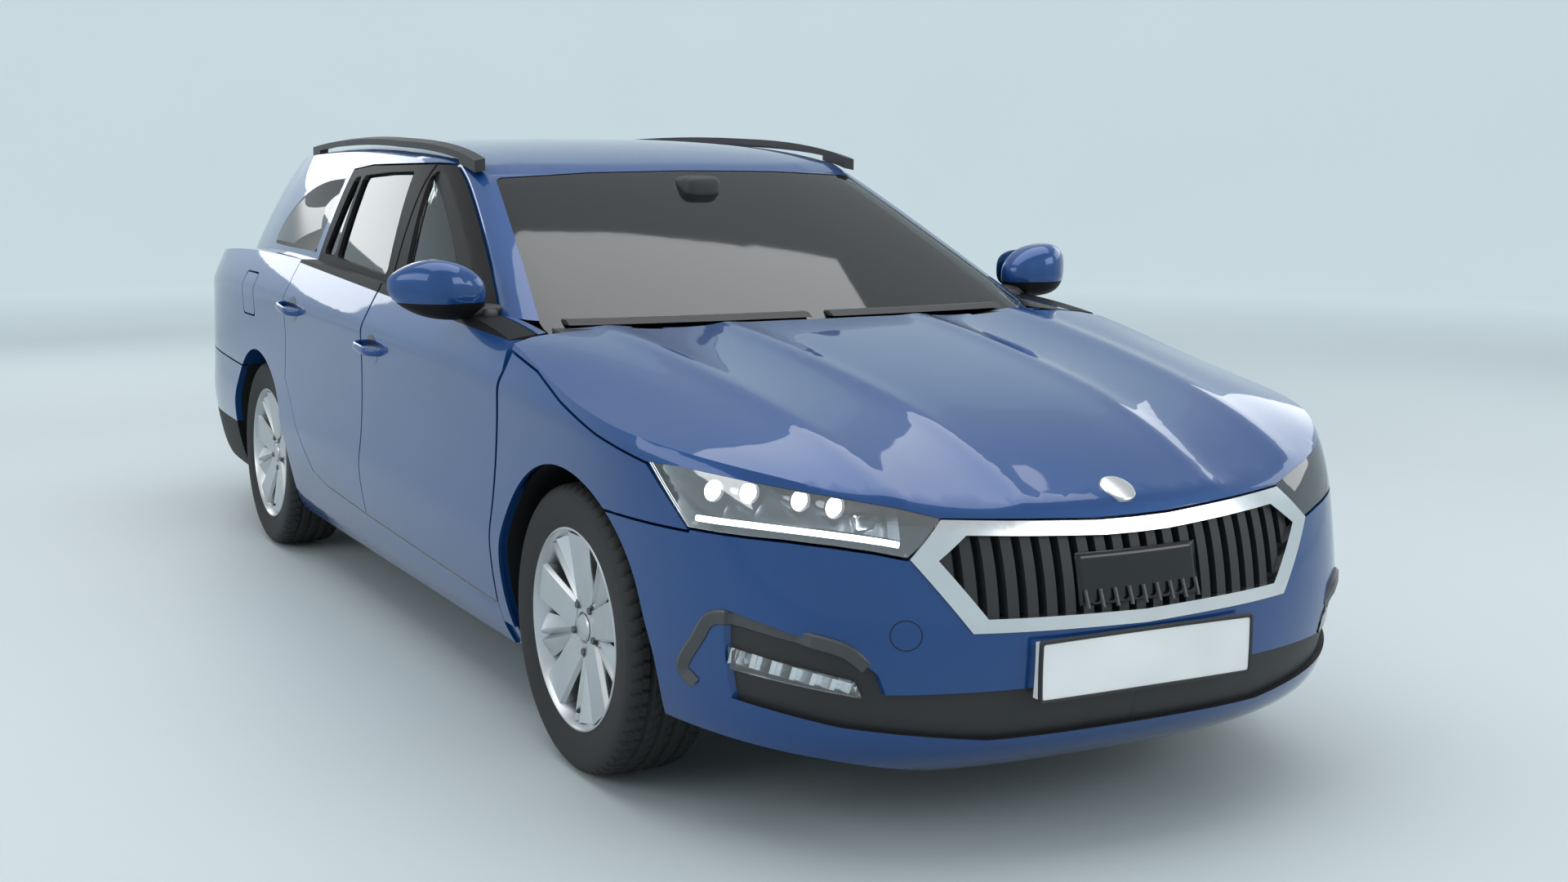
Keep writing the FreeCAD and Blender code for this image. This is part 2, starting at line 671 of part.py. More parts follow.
bonnetInner = lowerBody(size("bonnet_thickness")).common(deckBody(size("bonnet_thickness")))
bonnetHalf = outerLower.cut(bonnetInner)
bonnetCut = aheadOfScreen(0).common(aboveShoulder(0)).common(aboveFront)
bonnetCut = bonnetCut.cut(doorBlock(frontDoorShares, size("bonnet_corner_gap")))
bonnet = keep("bonnet", bothSides(largest(bonnetHalf.common(bonnetCut))))

skinInner = lowerBody(size("skin_thickness")).common(deckBody(size("skin_thickness")))
skin = outerLower.cut(skinInner)
doorFront = taken(frontDoorShares)[:3]
fenderX = doorFront[2][0] + size("fender_rear_gap")
bumperLine = size("bumper_line")
lampTop = shoulder[-1]
lampLow = fronted(lampLowShares)
lampCorner = lampTop[0] + size("lamp_slant")
fenderBlock = [
    (doorFront[0][0] + gap, size("fender_low")), (doorFront[0][0] + gap, doorFront[0][1]),
    (doorFront[1][0] + gap, doorFront[1][1]), (fenderX, doorFront[2][1]),
    (fenderX, roofTop), (reach, roofTop), (reach, lampLow[-1][1] + gap), (lampCorner, lampLow[-1][1] + gap),
    (lampCorner, bumperLine), (frontAxle, bumperLine), (frontAxle, size("fender_low")),
]
lampRear = [(lampTop[0], lampTop[1] + gap), (lampCorner, lampLow[-1][1]), (reach, lampLow[-1][1]),
            (reach, lampTop[1] + gap)]
lampSide = lampRear[:2] + [(lampRear[1][0], 0), (reach, 0), lampRear[3]]
lampFront = [(frontLine[2][0], frontLine[2][1])] + frontLine[3:] + list(reversed(lampLow))


def lampBlock(spread):
    """The region of the left headlamp."""
    region = frontPrism(grown(lampFront, spread), 0, reach).common(sidePrism(grown(lampSide, spread), 0, yOut))
    return region.cut(frontPrism(grown(paired(fronted(grilleOuterShares)), -spread), 0, reach))


fender = skin.common(sidePrism(fenderBlock, yIn, yOut)).cut(aboveShoulder(-gap)).cut(frontWell)
fender = largest(fender.cut(lampBlock(gap / 2)))
keep("fender_left", fender)
keep("fender_right", mirrored(fender))

bumperInner = lowerBody(size("bumper_thickness")).common(deckBody(size("bumper_thickness")))
bumperShell = outerLower.cut(bumperInner)
lip = fronted(lipShares)
noseTop = frontLine[:3] + [lampLow[0]] + lampLow[1:]
noseFront = [(y, z - gap) for y, z in noseTop]
noseBlock = frontPrism(lip + list(reversed(noseFront)), frontAxle, reach)
grilleOuter = fronted(grilleOuterShares)
grilleInner = fronted(grilleInnerShares)
intake = fronted(intakeShares)
intakeHole = frontPrism(intake, size("intake_start"), reach)
noseShell = bumperShell.common(noseBlock)
nearNose = noseShell.cut(box(0, lampCorner + gap, 0, yOut, bumperLine - gap, roofTop))
bumper = largest(nearNose.cut(frontPrism(paired(grilleOuter), frontAxle, reach)).cut(intakeHole).cut(frontWell))
keep("front_bumper", bothSides(bumper))

# Side frames: sills, pillars, roof rails and rear quarters
sillInner = size("sill_width")
screen = fronted(screenShares)
screenHole = frontPrism(grown(paired(screen), fit), size("screen_limit"), halfLength, size("glass_corner"))
roofBlockX = rearAxle - size("roof_overhang")
roofHalf = size("roof_panel_width") / 2


def roofBlock(spread):
    """Region of the roof panel between the side frames."""
    return box(roofBlockX, frontAxle, -roofHalf - spread, roofHalf + spread, size("roof_split"), reach)


hatch = fronted(hatchShares)
hatchX = roofBlockX - gap


def hatchBlock(spread):
    """Region of the tailgate."""
    return frontPrism(grown(paired(hatch), spread), -reach, hatchX + spread)


def lampTailBlock(spread):
    """Region of the left tail lamp outside the tailgate."""
    low, high = size("tail_lamp_low"), size("tail_lamp_high")
    tip = -halfLength + size("tail_lamp_length")
    points = [(tip, high), (tip - size("tail_lamp_slant"), low), (-reach, low), (-reach, high)]
    return sidePrism(grown(points, spread), 0, yOut)


doorFronts = [(x + gap / 2, z) for x, z in doorFront]
sideBlock = [(-reach, size("floor_height")), (doorFronts[0][0], size("floor_height"))] + doorFronts
sideBlock += [(reach, doorFront[2][1]), (reach, roofTop + waist), (-reach, roofTop + waist)]
frame = wall.common(sidePrism(sideBlock, 0, yOut)).cut(aheadOfScreen(-gap))
postWidth = size("post_width")
postFront = frontAxle - size("arch_radius") + size("arch_lining") * 2
postBlock = [(doorFronts[0][0] + gap, size("floor_height")), (doorFronts[0][0] + gap, doorFront[0][1]),
             (doorFronts[1][0] + gap, doorFront[1][1]), (doorFronts[2][0] + gap, doorFront[2][1]),
             (doorFronts[2][0] + gap, doorFront[2][1] + gap), (postFront + postWidth, doorFront[2][1] + gap),
             (postFront + postWidth, size("floor_height"))]
lining = wheelWell(frontAxle, size("well_depth"), size("arch_radius") + size("arch_lining"))
hingePost = lowerBody(size("skin_thickness") + fit).cut(lowerBody(sillInner)).common(sidePrism(postBlock, 0, yOut))
hingePost = hingePost.cut(lining).cut(aheadOfScreen(-gap).common(aboveShoulder(-size("post_clearance"))))
doorInset = size("door_thickness")
clear = size("pillar_clearance")
frameInset = size("frame_thickness")
depth = size("pillar_depth")
pillarShares = ((0.4285, 0.19), (0.4881, 0.19), (0.4993, 1.0), (0.4620, 1.42), (0.4174, 1.42), (0.4397, 1.0))
pillar = taken(pillarShares)
pillarPrism = sidePrism(pillar, 0, yOut)
lowPillar = lowerBody(doorInset + clear).common(deckBody(0)).cut(lowerBody(doorInset + clear + depth))
highPillar = cabinBody(frameInset + clear).common(roofBody(size("roof_thickness")))
highPillar = highPillar.cut(lowerBody(doorInset + clear).common(deckBody(0)))
highPillar = highPillar.cut(cabinBody(frameInset + clear + depth))
head = cabinBody(frameInset / 2).common(roofBody(size("roof_thickness") / 2)).cut(cabinBody(frameInset + depth))
head = head.common(box(-reach, reach, 0, yOut, frontDoorShares[11][1] * waist + gap, reach))
foot = lowerBody(doorInset / 2).cut(lowerBody(doorInset + clear + depth))
foot = foot.common(box(-reach, reach, 0, yOut, size("floor_height"), frontDoorShares[0][1] * waist - gap))
post = lowPillar.fuse(highPillar).common(pillarPrism)
post = post.fuse(head.common(pillarPrism)).fuse(foot.common(pillarPrism))
sill = lowerBody(doorInset / 2).cut(lowerBody(sillInner))
sill = sill.common(box(rearAxle + size("arch_radius"), frontAxle, 0, yOut, size("floor_height"),
                       frontDoorShares[0][1] * waist - gap)).cut(lining)
frame = frame.cut(doorBlock(frontDoorShares, gap / 2)).cut(doorBlock(rearDoorShares, gap / 2))
frame = frame.cut(screenHole).cut(roofBlock(fit)).cut(hatchBlock(gap)).cut(lampTailBlock(fit)).cut(rearWell)
frame = frame.cut(frontWell).cut(paneHole(quarterGlassShares, corner))
rearLine = size("rear_bumper_line")
bumperFront = rearAxle - size("arch_radius") / 2
rearBlock = [(bumperFront, 0), (bumperFront, rearLine - size("rear_line_drop")),
             (-halfLength + size("rear_line_rise"), rearLine), (-reach, rearLine), (-reach, 0)]
frame = frame.cut(sidePrism(grown(rearBlock, gap), -yOut, yOut))
frame = frame.fuse(post.cut(roofBlock(fit))).fuse(sill).fuse(hingePost)
frame = largest(frame)
flapBlockShares = ((-0.060, 0.82), (-0.060, 0.97), (0.002, 0.97), (0.002, 0.82))
flapPoints = taken(flapBlockShares)
flapShell = outerLower.cut(lowerBody(size("flap_thickness")))
flap = flapShell.common(sidePrism(grown(flapPoints, -gap / 2), yIn, yOut, corner))
flapHole = sidePrism(grown(flapPoints, gap / 2), yIn, yOut, corner).cut(lowerBody(size("flap_pocket")))
keep("fuel_flap", mirrored(largest(flap)))
keep("side_frame_left", frame)
keep("side_frame_right", mirrored(largest(frame.cut(flapHole))))

# Roof, windscreen and tailgate
cabinWall = cabinOuter.cut(cabinCavity)
roofHalfPanel = cabinWall.common(roofBlock(0)).cut(screenHole).cut(hatchBlock(gap))
keep("roof_panel", bothSides(largest(roofHalfPanel)))
screenDepth = size("screen_depth")
screenShell = cabinBody(screenDepth).cut(cabinBody(screenDepth + size("glass_thickness")))
screenPane = screenShell.common(frontPrism(grown(paired(screen), -fit), size("screen_limit") + fit, halfLength,
                                           size("glass_corner")))
windscreen = bothSides(screenPane)
hatchInset = size("tailgate_thickness")
hatchCavity = lowerBody(hatchInset).common(deckBody(0)).fuse(cabinCavity)
hatchGlass = fronted(hatchGlassShares)
hatchHalf = outer.cut(hatchCavity).common(hatchBlock(0))
hatchHalf = hatchHalf.cut(frontPrism(paired(hatchGlass), -reach, hatchX, size("glass_corner")))
lampLowRear, lampHighRear = size("tail_lamp_low"), size("tail_lamp_high")
innerLamp = box(-reach, rearAxle, size("inner_lamp_y"), yOut, lampLowRear, lampHighRear - size("inner_lamp_drop"))
lampInset = size("lamp_depth")
lampInner = lowerBody(lampInset)
hatchSkin = outerLower.cut(lampInner).common(hatchBlock(0)).common(innerLamp)
hatchHalf = largest(hatchHalf.cut(hatchSkin))
keep("tailgate", bothSides(hatchHalf))
hatchPane = glassShell.common(frontPrism(grown(paired(hatchGlass), -fit), -reach, hatchX, size("glass_corner")))
keep("tailgate_glass", bothSides(hatchPane))
lampTrim = outerLower.cut(lampInner)
innerTail = largest(
    lampTrim.common(hatchBlock(-fit)).common(box(-reach, rearAxle, size("inner_lamp_y") + fit, yOut,
                                                 lampLowRear + fit, lampHighRear - size("inner_lamp_drop") - fit)))
keep("tail_lamps_inner", Part.makeCompound([innerTail, mirrored(innerTail)]))
outerTail = largest(lampTrim.common(lampTailBlock(-fit)).cut(hatchBlock(gap)))
keep("tail_lamps_outer", Part.makeCompound([outerTail, mirrored(outerTail)]))
quarter = pane(quarterGlassShares, corner)
keep("fixed_glass", Part.makeCompound([windscreen, quarter, mirrored(quarter)]))
rearBumper = bumperShell.common(sidePrism(rearBlock, 0, yOut)).cut(rearWell).cut(hatchBlock(gap))
rearBumper = rearBumper.cut(box(-reach, 0, 0, yOut, 0, size("bumper_clearance")))
keep("rear_bumper", bothSides(largest(rearBumper)))

# Lamps, grilles and plates
lampShell = outerLower.cut(lowerBody(size("lens_thickness")).common(deckBody(size("lens_thickness"))))
lens = largest(lampShell.common(lampBlock(-fit)))
lensBack = size("lens_thickness") + fit
bowlOuter = lowerBody(lensBack).common(deckBody(lensBack)).cut(lowerBody(size("headlamp_depth")))
bowlInner = lowerBody(size("lens_thickness")).cut(lowerBody(size("headlamp_depth") - size("lamp_wall")))
bowl = bowlOuter.common(lampBlock(-fit)).cut(bowlInner.common(lampBlock(-size("lamp_wall"))))
bowl = largest(bowl.cut(frontWell))
keep("headlamp_housings", Part.makeCompound([bowl, mirrored(bowl)]))
fogBlock = frontPrism(fronted(fogShares), frontAxle, reach)
trimInset = size("trim_inset")
trimShell = lowerBody(trimInset).cut(lowerBody(trimInset + size("trim_thickness")))
trim = trimShell.common(frontPrism(grown(intake, -fit), size("intake_start") + fit, reach)).cut(fogBlock).cut(frontWell)
fogShell = lowerBody(trimInset / 2).cut(lowerBody(trimInset + size("trim_thickness")))
fog = largest(fogShell.common(frontPrism(grown(fronted(fogShares), -fit), size("intake_start") + fit, reach)))
keep("front_lenses", Part.makeCompound([lens, mirrored(lens), fog, mirrored(fog)]))
ringProud = size("ring_proud")
ringShell = lowerBody(-ringProud).cut(lowerBody(size("bumper_thickness")))
ringPrism = frontPrism(grown(paired(grilleOuter), -fit), frontAxle, reach)
ring = ringShell.common(ringPrism).cut(frontPrism(paired(grilleInner), frontAxle, reach))
keep("grille_surround", bothSides(largest(ring)))
slatShell = lowerBody(size("slat_inset")).cut(lowerBody(size("slat_inset") + size("slat_depth")))
meshShell = lowerBody(size("slat_inset") + size("slat_depth")).cut(
    lowerBody(size("slat_inset") + size("slat_depth") + size("trim_thickness")))
grilleBlock = frontPrism(grown(paired(grilleInner), -fit), frontAxle, reach)
slats = meshShell.common(grilleBlock)
slatCount = int(size("slat_count"))
pitch = grilleInner[3][0] * 2 / slatCount
for number in range(slatCount // 2 + 1):
    middle = number * pitch
    low = max(middle - size("slat_width") / 2, 0)
    slats = slats.fuse(slatShell.common(grilleBlock).common(
        box(frontAxle, reach, low, middle + size("slat_width") / 2, 0, waist)))
grilles = bothSides(slats)
trimBoth = bothSides(trim)
keep("grilles", Part.makeCompound([grilles, trimBoth]))

# Floor, engine bay and axles
def keepBox(name, sizes, place):
    """Block bound to the sheet."""
    block = doc.addObject("Part::Box", name)
    for dimension, formula in zip(("Length", "Width", "Height"), sizes):
        block.setExpression(dimension, formula)
    for direction, formula in zip("xyz", place):
        block.setExpression("Placement.Base." + direction, formula)
    block.Label = name
    nodes.append(block)
    return block


keepBox("engine_block", ("Sizes.engine_length", "Sizes.engine_width", "Sizes.engine_height"),
        ("Sizes.engine_x", "-Sizes.engine_width / 2", "Sizes.engine_base"))
floorLow = size("floor_height")
sheetMetal = size("floor_thickness")
firewall = size("firewall_x")
kick = rearAxle + size("arch_radius") + size("kick_distance")
loadLow = size("load_floor_height") - sheetMetal
loadBack = -halfLength + size("bumper_thickness") + size("rear_beam_gap")
rearInside = lowerBody(size("frame_thickness") + fit).common(box(-reach, kick, 0, yOut, 0, roofTop))
inside = lowerBody(sillInner + fit).common(box(kick, reach, 0, yOut, 0, roofTop)).fuse(rearInside)
mainFloor = box(kick, firewall, 0, halfWidth, floorLow, floorLow + sheetMetal)
kickPlate = box(kick - sheetMetal, kick, 0, halfWidth, floorLow, loadLow + sheetMetal)
loadFloor = box(loadBack, kick, 0, halfWidth, loadLow, loadLow + sheetMetal)
rearPanel = box(loadBack, loadBack + sheetMetal, 0, hatch[1][0], size("rear_panel_low"), loadLow + sheetMetal)
fireplate = box(firewall - size("firewall_thickness"), firewall, 0, halfWidth, floorLow, size("firewall_height"))
railY = size("rail_spread") / 2
tube = size("rail_tube")
railZ = size("rail_top")
railEnd = halfLength - size("bumper_thickness") - size("nose_space")
chassisRail = box(firewall, railEnd, railY - tube / 2, railY + tube / 2, railZ - tube, railZ)
radiator = box(railEnd - size("firewall_thickness"), railEnd, 0, railY + tube / 2, size("rear_panel_low"), railZ)
floor = mainFloor.fuse(kickPlate).fuse(loadFloor).fuse(rearPanel).fuse(fireplate)
floor = floor.common(inside)
for axleX, wellDepth in ((frontAxle, size("well_depth")), (rearAxle, size("rear_well_depth"))):
    liner = wheelWell(axleX, wellDepth, size("arch_radius") + size("arch_lining"))
    liner = liner.cut(wheelWell(axleX, wellDepth, size("arch_radius")))
    liner = liner.common(box(-reach, reach, 0, yOut, floorLow + sheetMetal, waist))
    liner = liner.common(lowerBody(size("liner_inset")))
    floor = floor.cut(wheelWell(axleX, wellDepth, size("arch_radius"))).fuse(liner)
innerWall = wheelWell(rearAxle, size("rear_well_depth") + size("arch_lining"), size("arch_radius") + size("arch_lining"))
innerWall = innerWall.common(box(-reach, 0, 0, halfWidth - size("rear_well_depth"), size("axle_z") + tube * 2, waist))
innerWall = innerWall.cut(wheelWell(rearAxle, size("rear_well_depth"), size("arch_radius")))
floor = floor.fuse(innerWall).fuse(chassisRail).fuse(radiator)
floor = floor.cut(frame)
frameInside = frame.copy()
frameInside.translate(Vector(0, -size("floor_edge_gap"), 0))
floor = floor.cut(frameInside)
keep("floorpan", bothSides(largest(floor)))
cowlShell = deckBody(size("cowl_depth")).cut(deckBody(size("cowl_depth") + size("trim_thickness")))
cowl = cowlShell.common(lowerBody(sillInner)).cut(aheadOfScreen(-gap)).cut(cabinBody(-fit))
cowl = cowl.common(box(size("cowl_start"), firewall + waist, 0, halfWidth, 0, roofTop))
keep("cowl", bothSides(largest(cowl)))

# Wheels: made once on the left, on the axle line at the origin
halfTyre = size("tyre_width") / 2
halfRim = size("rim_width") / 2
bead = size("rim_radius")


def revolved(points, radius=0):
    """Solid turned round the wheel axis from pairs of radius and width."""
    wire = roundedWire(points, radius, lambda p: Vector(p.x, p.y, 0))
    return Part.Face(wire).revolve(origin, yAxis, 360)


tyreProfile = [(bead + fit, -halfRim), (size("tyre_wall_radius"), -halfTyre), (wheelZ - sheetMetal, -halfTyre),
               (wheelZ, -halfTyre + sheetMetal), (wheelZ, halfTyre - sheetMetal),
               (wheelZ - sheetMetal, halfTyre), (size("tyre_wall_radius"), halfTyre), (bead + fit, halfRim)]
tyre = revolved(tyreProfile)
rimWall = size("rim_wall")
barrel = [(bead, -halfRim), (bead, -halfRim + rimWall), (bead - rimWall, -halfRim + rimWall * 2),
          (bead - rimWall, halfRim - rimWall * 2), (bead, halfRim - rimWall), (bead, halfRim),
          (bead - rimWall * 2, halfRim), (bead - rimWall * 2, -halfRim)]
rim = revolved(barrel)
face = halfRim - size("face_inset")
hubR = size("hub_radius")
back = size("hub_back")
boreRadius = size("spindle_radius") + fit
hub = revolved([(boreRadius, back), (hubR, back), (hubR, face), (0, face), (0, size("bore_end")),
                (boreRadius, size("bore_end"))])
discOuter = revolved([(boreRadius, back - size("disc_thickness")), (size("disc_radius"), back - size("disc_thickness")),
                      (size("disc_radius"), back), (boreRadius, back)])
spokeShares = ((0.26, -0.075), (0.26, -0.010), (0.925, 0.055), (0.925, -0.10))
spokeRows = [(r * bead, w * bead) for r, w in spokeShares]
spokeFace = Part.Face(roundedWire(spokeRows, 0, lambda p: Vector(p.x, face - size("spoke_depth"), p.y)))
spoke = spokeFace.extrude(Vector(0, size("spoke_depth"), 0))
spokes = []
spokeCount = int(size("spoke_pairs"))
for number in range(spokeCount):
    for turn in (-size("spoke_split"), size("spoke_split")):
        one = spoke if turn < 0 else spoke.mirror(origin, zAxis)
        one = one.copy()
        one.rotate(origin, yAxis, number * 360 / spokeCount + turn)
        spokes.append(one)
rim = rim.fuse([hub, discOuter] + spokes)
halfTrack = size("track_width") / 2
for end, axleX in (("front", frontAxle), ("rear", rearAxle)):
    for side, flip in (("left", False), ("right", True)):
        for name, shape in (("rim", rim), ("tyre", tyre)):
            turned = mirrored(shape) if flip else shape.copy()
            turned.translate(Vector(axleX, -halfTrack if flip else halfTrack, wheelZ))
            keep(name + "_" + end + "_" + side, turned)

# Knuckles and rear axle
hubIn = halfTrack + back - size("disc_thickness") - size("knuckle_clearance")
knuckleIn = hubIn - size("knuckle_width")
spindleEnd = halfTrack + size("bore_end") - size("knuckle_clearance")
spindle = cylinderAcross(frontAxle, wheelZ, size("spindle_radius"), knuckleIn, spindleEnd)
carrier = cylinderAcross(frontAxle, wheelZ, size("carrier_radius"), knuckleIn, hubIn)
kingY = size("kingpin_y")
armHalf = size("knuckle_width") / 2
armZ = wheelZ * 2 + size("knuckle_clearance") + armHalf
column = box(frontAxle - armHalf, frontAxle + armHalf, knuckleIn - armHalf,
             knuckleIn + armHalf - size("knuckle_clearance"), wheelZ, armZ)
topArm = box(frontAxle - armHalf, frontAxle + armHalf, knuckleIn - armHalf, kingY + armHalf, armZ - armHalf, armZ)
pinTop = wheelZ + size("arch_radius") - fit * 2
pin = Part.makeCylinder(armHalf / 2, pinTop - armZ, Vector(frontAxle, kingY, armZ), zAxis)
discR = size("disc_radius")
caliper = box(frontAxle - discR - size("caliper_reach"), frontAxle - size("caliper_inner"),
              hubIn - armHalf, halfTrack + back + size("knuckle_clearance") + armHalf,
              wheelZ - size("caliper_half"), wheelZ + size("caliper_half"))
caliper = caliper.cut(cylinderAcross(frontAxle, wheelZ, discR + size("knuckle_clearance"), hubIn,
                                     halfTrack + back + size("knuckle_clearance")))
link = box(frontAxle - size("caliper_inner") - armHalf, frontAxle, knuckleIn, hubIn, wheelZ - armHalf, wheelZ + armHalf)
knuckle = spindle.fuse([carrier, column, topArm, pin, caliper, link])
keep("knuckle_left", knuckle)
keep("knuckle_right", mirrored(knuckle))
axleZ = size("axle_z")
beam = cylinderAcross(rearAxle, axleZ, size("axle_radius"), 0, hubIn - armHalf)
stub = cylinderAcross(rearAxle, wheelZ, size("carrier_radius"), knuckleIn - armHalf, hubIn)
rearSpindle = cylinderAcross(rearAxle, wheelZ, size("spindle_radius"), knuckleIn, spindleEnd)
armY = size("trailing_arm_y")
trailing = box(rearAxle, kick - sheetMetal - fit, armY - armHalf, armY + armHalf, axleZ - armHalf, axleZ + armHalf)
keep("rear_axle", bothSides(beam.fuse([stub, rearSpindle, trailing])))

# Cabin: seats, dashboard and steering wheel


def tilted(shape, place, angle):
    """The shape turned about the y axis through a place."""
    turned = shape.copy()
    turned.rotate(place, yAxis, angle)
    return turned


def seatShapes(width, length, middle, front):
    """Cushion and backrest with a headrest, on a base box that stands on the floor."""
    base = size("cushion_base")
    low = floorLow + sheetMetal + fit
    half = width / 2
    depthBack = size("backrest_thickness")
    seatLow = base + floorLow
    soft = size("cushion_height") * size("cushion_round_share")
    profile = [(front - length, seatLow), (front, seatLow), (front, seatLow + size("cushion_height")),
               (front - length, seatLow + size("cushion_height"))]
    cushion = sidePrism(profile, middle - half, middle + half, soft)
    plinth = box(front - length + depthBack, front - depthBack, middle - half / 2, middle + half / 2, low,
                 seatLow + size("cushion_height") / 2)
    hinge = Vector(front - length + depthBack / 2, middle, seatLow + size("cushion_height") / 3)
    headLow = hinge.z + size("backrest_height")
    profile = [(hinge.x - depthBack / 2, hinge.z), (hinge.x + depthBack / 2, hinge.z),
               (hinge.x + depthBack / 2, headLow), (hinge.x - depthBack / 2, headLow)]
    rest = sidePrism(profile, middle - half, middle + half, soft)
    support = box(hinge.x - size("support_half"), hinge.x + size("support_half"), middle - half / 6, middle + half / 6,
                  headLow - depthBack / 2, headLow + depthBack)
    padLow = headLow + size("headrest_lift")
    padHalf = size("headrest_thickness") / 2
    profile = [(hinge.x - padHalf, padLow), (hinge.x + padHalf, padLow),
               (hinge.x + padHalf, padLow + size("headrest_height")), (hinge.x - padHalf, padLow + size("headrest_height"))]
    pad = sidePrism(profile, middle - size("headrest_width") / 2, middle + size("headrest_width") / 2, soft)
    upper = rest.fuse([support, pad])
    return cushion.fuse([plinth, tilted(upper, hinge, -size("backrest_tilt"))])


frontSeats = [seatShapes(size("seat_width"), size("seat_length"), side * size("seat_spread") / 2, size("front_seat_x"))
              for side in (1, -1)]
bench = seatShapes(size("bench_width"), size("bench_length"), 0, size("bench_x") + size("bench_length"))
keep("front_seats", Part.makeCompound(frontSeats))
keep("rear_bench", bench)
dashPoints = [(0, 0.0), (0.15, 1.0), (0.55, 1.08), (1.0, 0.92), (1.0, 0.1), (0.5, -0.25)]
dashPoints = [(size("dash_x") + a * size("dash_depth"), size("dash_base") + b * size("dash_height")) for a, b in dashPoints]
dash = sidePrism(dashPoints, 0, size("dash_width") / 2, size("steering_tube"))
dash = dash.common(lowerBody(sillInner + clear).fuse(cabinBody(frameInset + clear + depth)))
dash = dash.common(cabinBody(screenDepth + size("glass_thickness") * 2).fuse(
    box(0, firewall - size("firewall_thickness") - fit, 0, halfWidth, 0, waist - size("cowl_depth") * 6)))
tilt = math.radians(size("steering_tilt"))
wheelMiddle = Vector(size("steering_x"), size("steering_y"), size("steering_z"))
columnLine = Vector(math.cos(tilt), 0, -math.sin(tilt))
dashBoth = bothSides(dash)
sleeveStart = wheelMiddle + columnLine * size("column_gap")
sleeve = Part.makeCylinder(size("column_radius"), size("column_length"), sleeveStart, columnLine)
dashBoth = dashBoth.fuse(sleeve)
dashBoth = dashBoth.common(box(-reach, firewall - size("firewall_thickness") - fit, -halfWidth, halfWidth, 0, reach))
keep("dashboard", largest(dashBoth))
gripR, gripHalf = size("steering_tube"), size("steering_tube") * size("octagon_share")
gripCorners = [(-gripHalf, -gripR), (gripHalf, -gripR), (gripR, -gripHalf), (gripR, gripHalf), (gripHalf, gripR),
               (-gripHalf, gripR), (-gripR, gripHalf), (-gripR, -gripHalf)]
gripLoop = Part.makePolygon([Vector(size("steering_radius") + u, 0, v) for u, v in gripCorners + gripCorners[:1]])
ringWheel = Part.Face(gripLoop).revolve(origin, zAxis, 360)
hubPad = Part.makeCylinder(size("steering_radius") / 3, size("steering_tube") * 3, Vector(0, 0, -size("steering_tube") * 3 / 2), zAxis)
spokeBars = [box(0, size("steering_radius"), -size("steering_tube"), size("steering_tube"), -size("steering_tube") / 2,
                 size("steering_tube") / 2)]
for angle in (90, 180, 270):
    bar = spokeBars[0].copy()
    bar.rotate(origin, zAxis, angle)
    spokeBars.append(bar)
steering = ringWheel.fuse([hubPad] + [spokeBars[1], spokeBars[2], spokeBars[3]])
steering.rotate(origin, yAxis, 90 + size("steering_tilt"))
steering.translate(wheelMiddle)
keep("steering_wheel", steering)

# Outside fittings
mirrorShares = (
    (0.915, -0.070), (0.900, 0.060), (0.97, 0.085), (1.075, 0.075), (1.108, 0.02), (1.085, -0.055), (0.98, -0.085),
)
mirrorPoints = [(y * halfWidth, size("mirror_z") + z * waist) for y, z in mirrorShares]
mirrorBack = size("mirror_x")
shellWire = roundedWire(mirrorPoints, size("mirror_corner"), lambda p: Vector(mirrorBack, p.x, p.y))
small = grown(mirrorPoints, -size("mirror_corner") * 3 / 4)
noseWire = roundedWire(small, size("mirror_corner") / 2, lambda p: Vector(mirrorBack + size("mirror_depth"), p.x, p.y))
mirrorShell = Part.makeLoft([shellWire, noseWire], True, True)
armLow = size("mirror_z") - size("mirror_arm_drop")
mirrorArm = box(mirrorBack + size("mirror_corner"), mirrorBack + size("mirror_depth") * 0.8, halfWidth * 0.87, mirrorPoints[0][0] + size("mirror_corner") * 2,
                armLow - size("mirror_corner"), armLow)
mirror = mirrorShell.fuse(mirrorArm).cut(outer)
mirror = largest(mirror)
keep("mirror_left", mirror)
keep("mirror_right", mirrored(mirror))
railFront, railBack = size("roof_rail_front"), size("roof_rail_back")
railOuterShares = ((1.0, 0.686), (0.66, 0.682), (0.30, 0.648), (0.0, 0.596))
railOuter = [(railBack + x * (railFront - railBack), y * halfWidth) for x, y in railOuterShares]
railInner = [(x, y - size("rail_width")) for x, y in reversed(railOuter)]
railBlock = planPrism(railOuter + railInner, waist, reach)
roofRail = roofBody(-size("rail_height")).common(railBlock).cut(roofBody(-fit))
roofRail = roofRail.cut(roofBody(-size("rail_height") + size("rail_bar")).common(
    box(railBack + size("rail_foot"), railFront - size("rail_foot"), 0, halfWidth, waist, reach)))
roofRail = largest(roofRail)
keep("roof_rails", Part.makeCompound([roofRail, mirrored(roofRail)]))
plateHalf = size("plate_width") / 2
plateTall = size("plate_height") / 2
plateZ = size("plate_z")
noseX = halfLength - size("nose_space")
frontPlate = box(noseX, halfLength, 0, plateHalf, plateZ - plateTall, plateZ + plateTall).cut(lowerBody(-fit))
keep("plate_front", bothSides(largest(frontPlate)))
plateZ = size("rear_plate_z")
tailX = -halfLength + size("rear_plate_inset")
rearPlate = box(tailX, tailX + size("nose_space"), 0, plateHalf, plateZ - plateTall, plateZ + plateTall).cut(lowerBody(-fit))
keep("plate_rear", bothSides(largest(rearPlate)))
exhaustR = size("exhaust_radius")
exhaustZ = floorLow - exhaustR - fit
exhaust = Part.makeCylinder(exhaustR, size("exhaust_front") - size("exhaust_back"),
                            Vector(size("exhaust_back"), size("exhaust_y"), exhaustZ), xAxis)
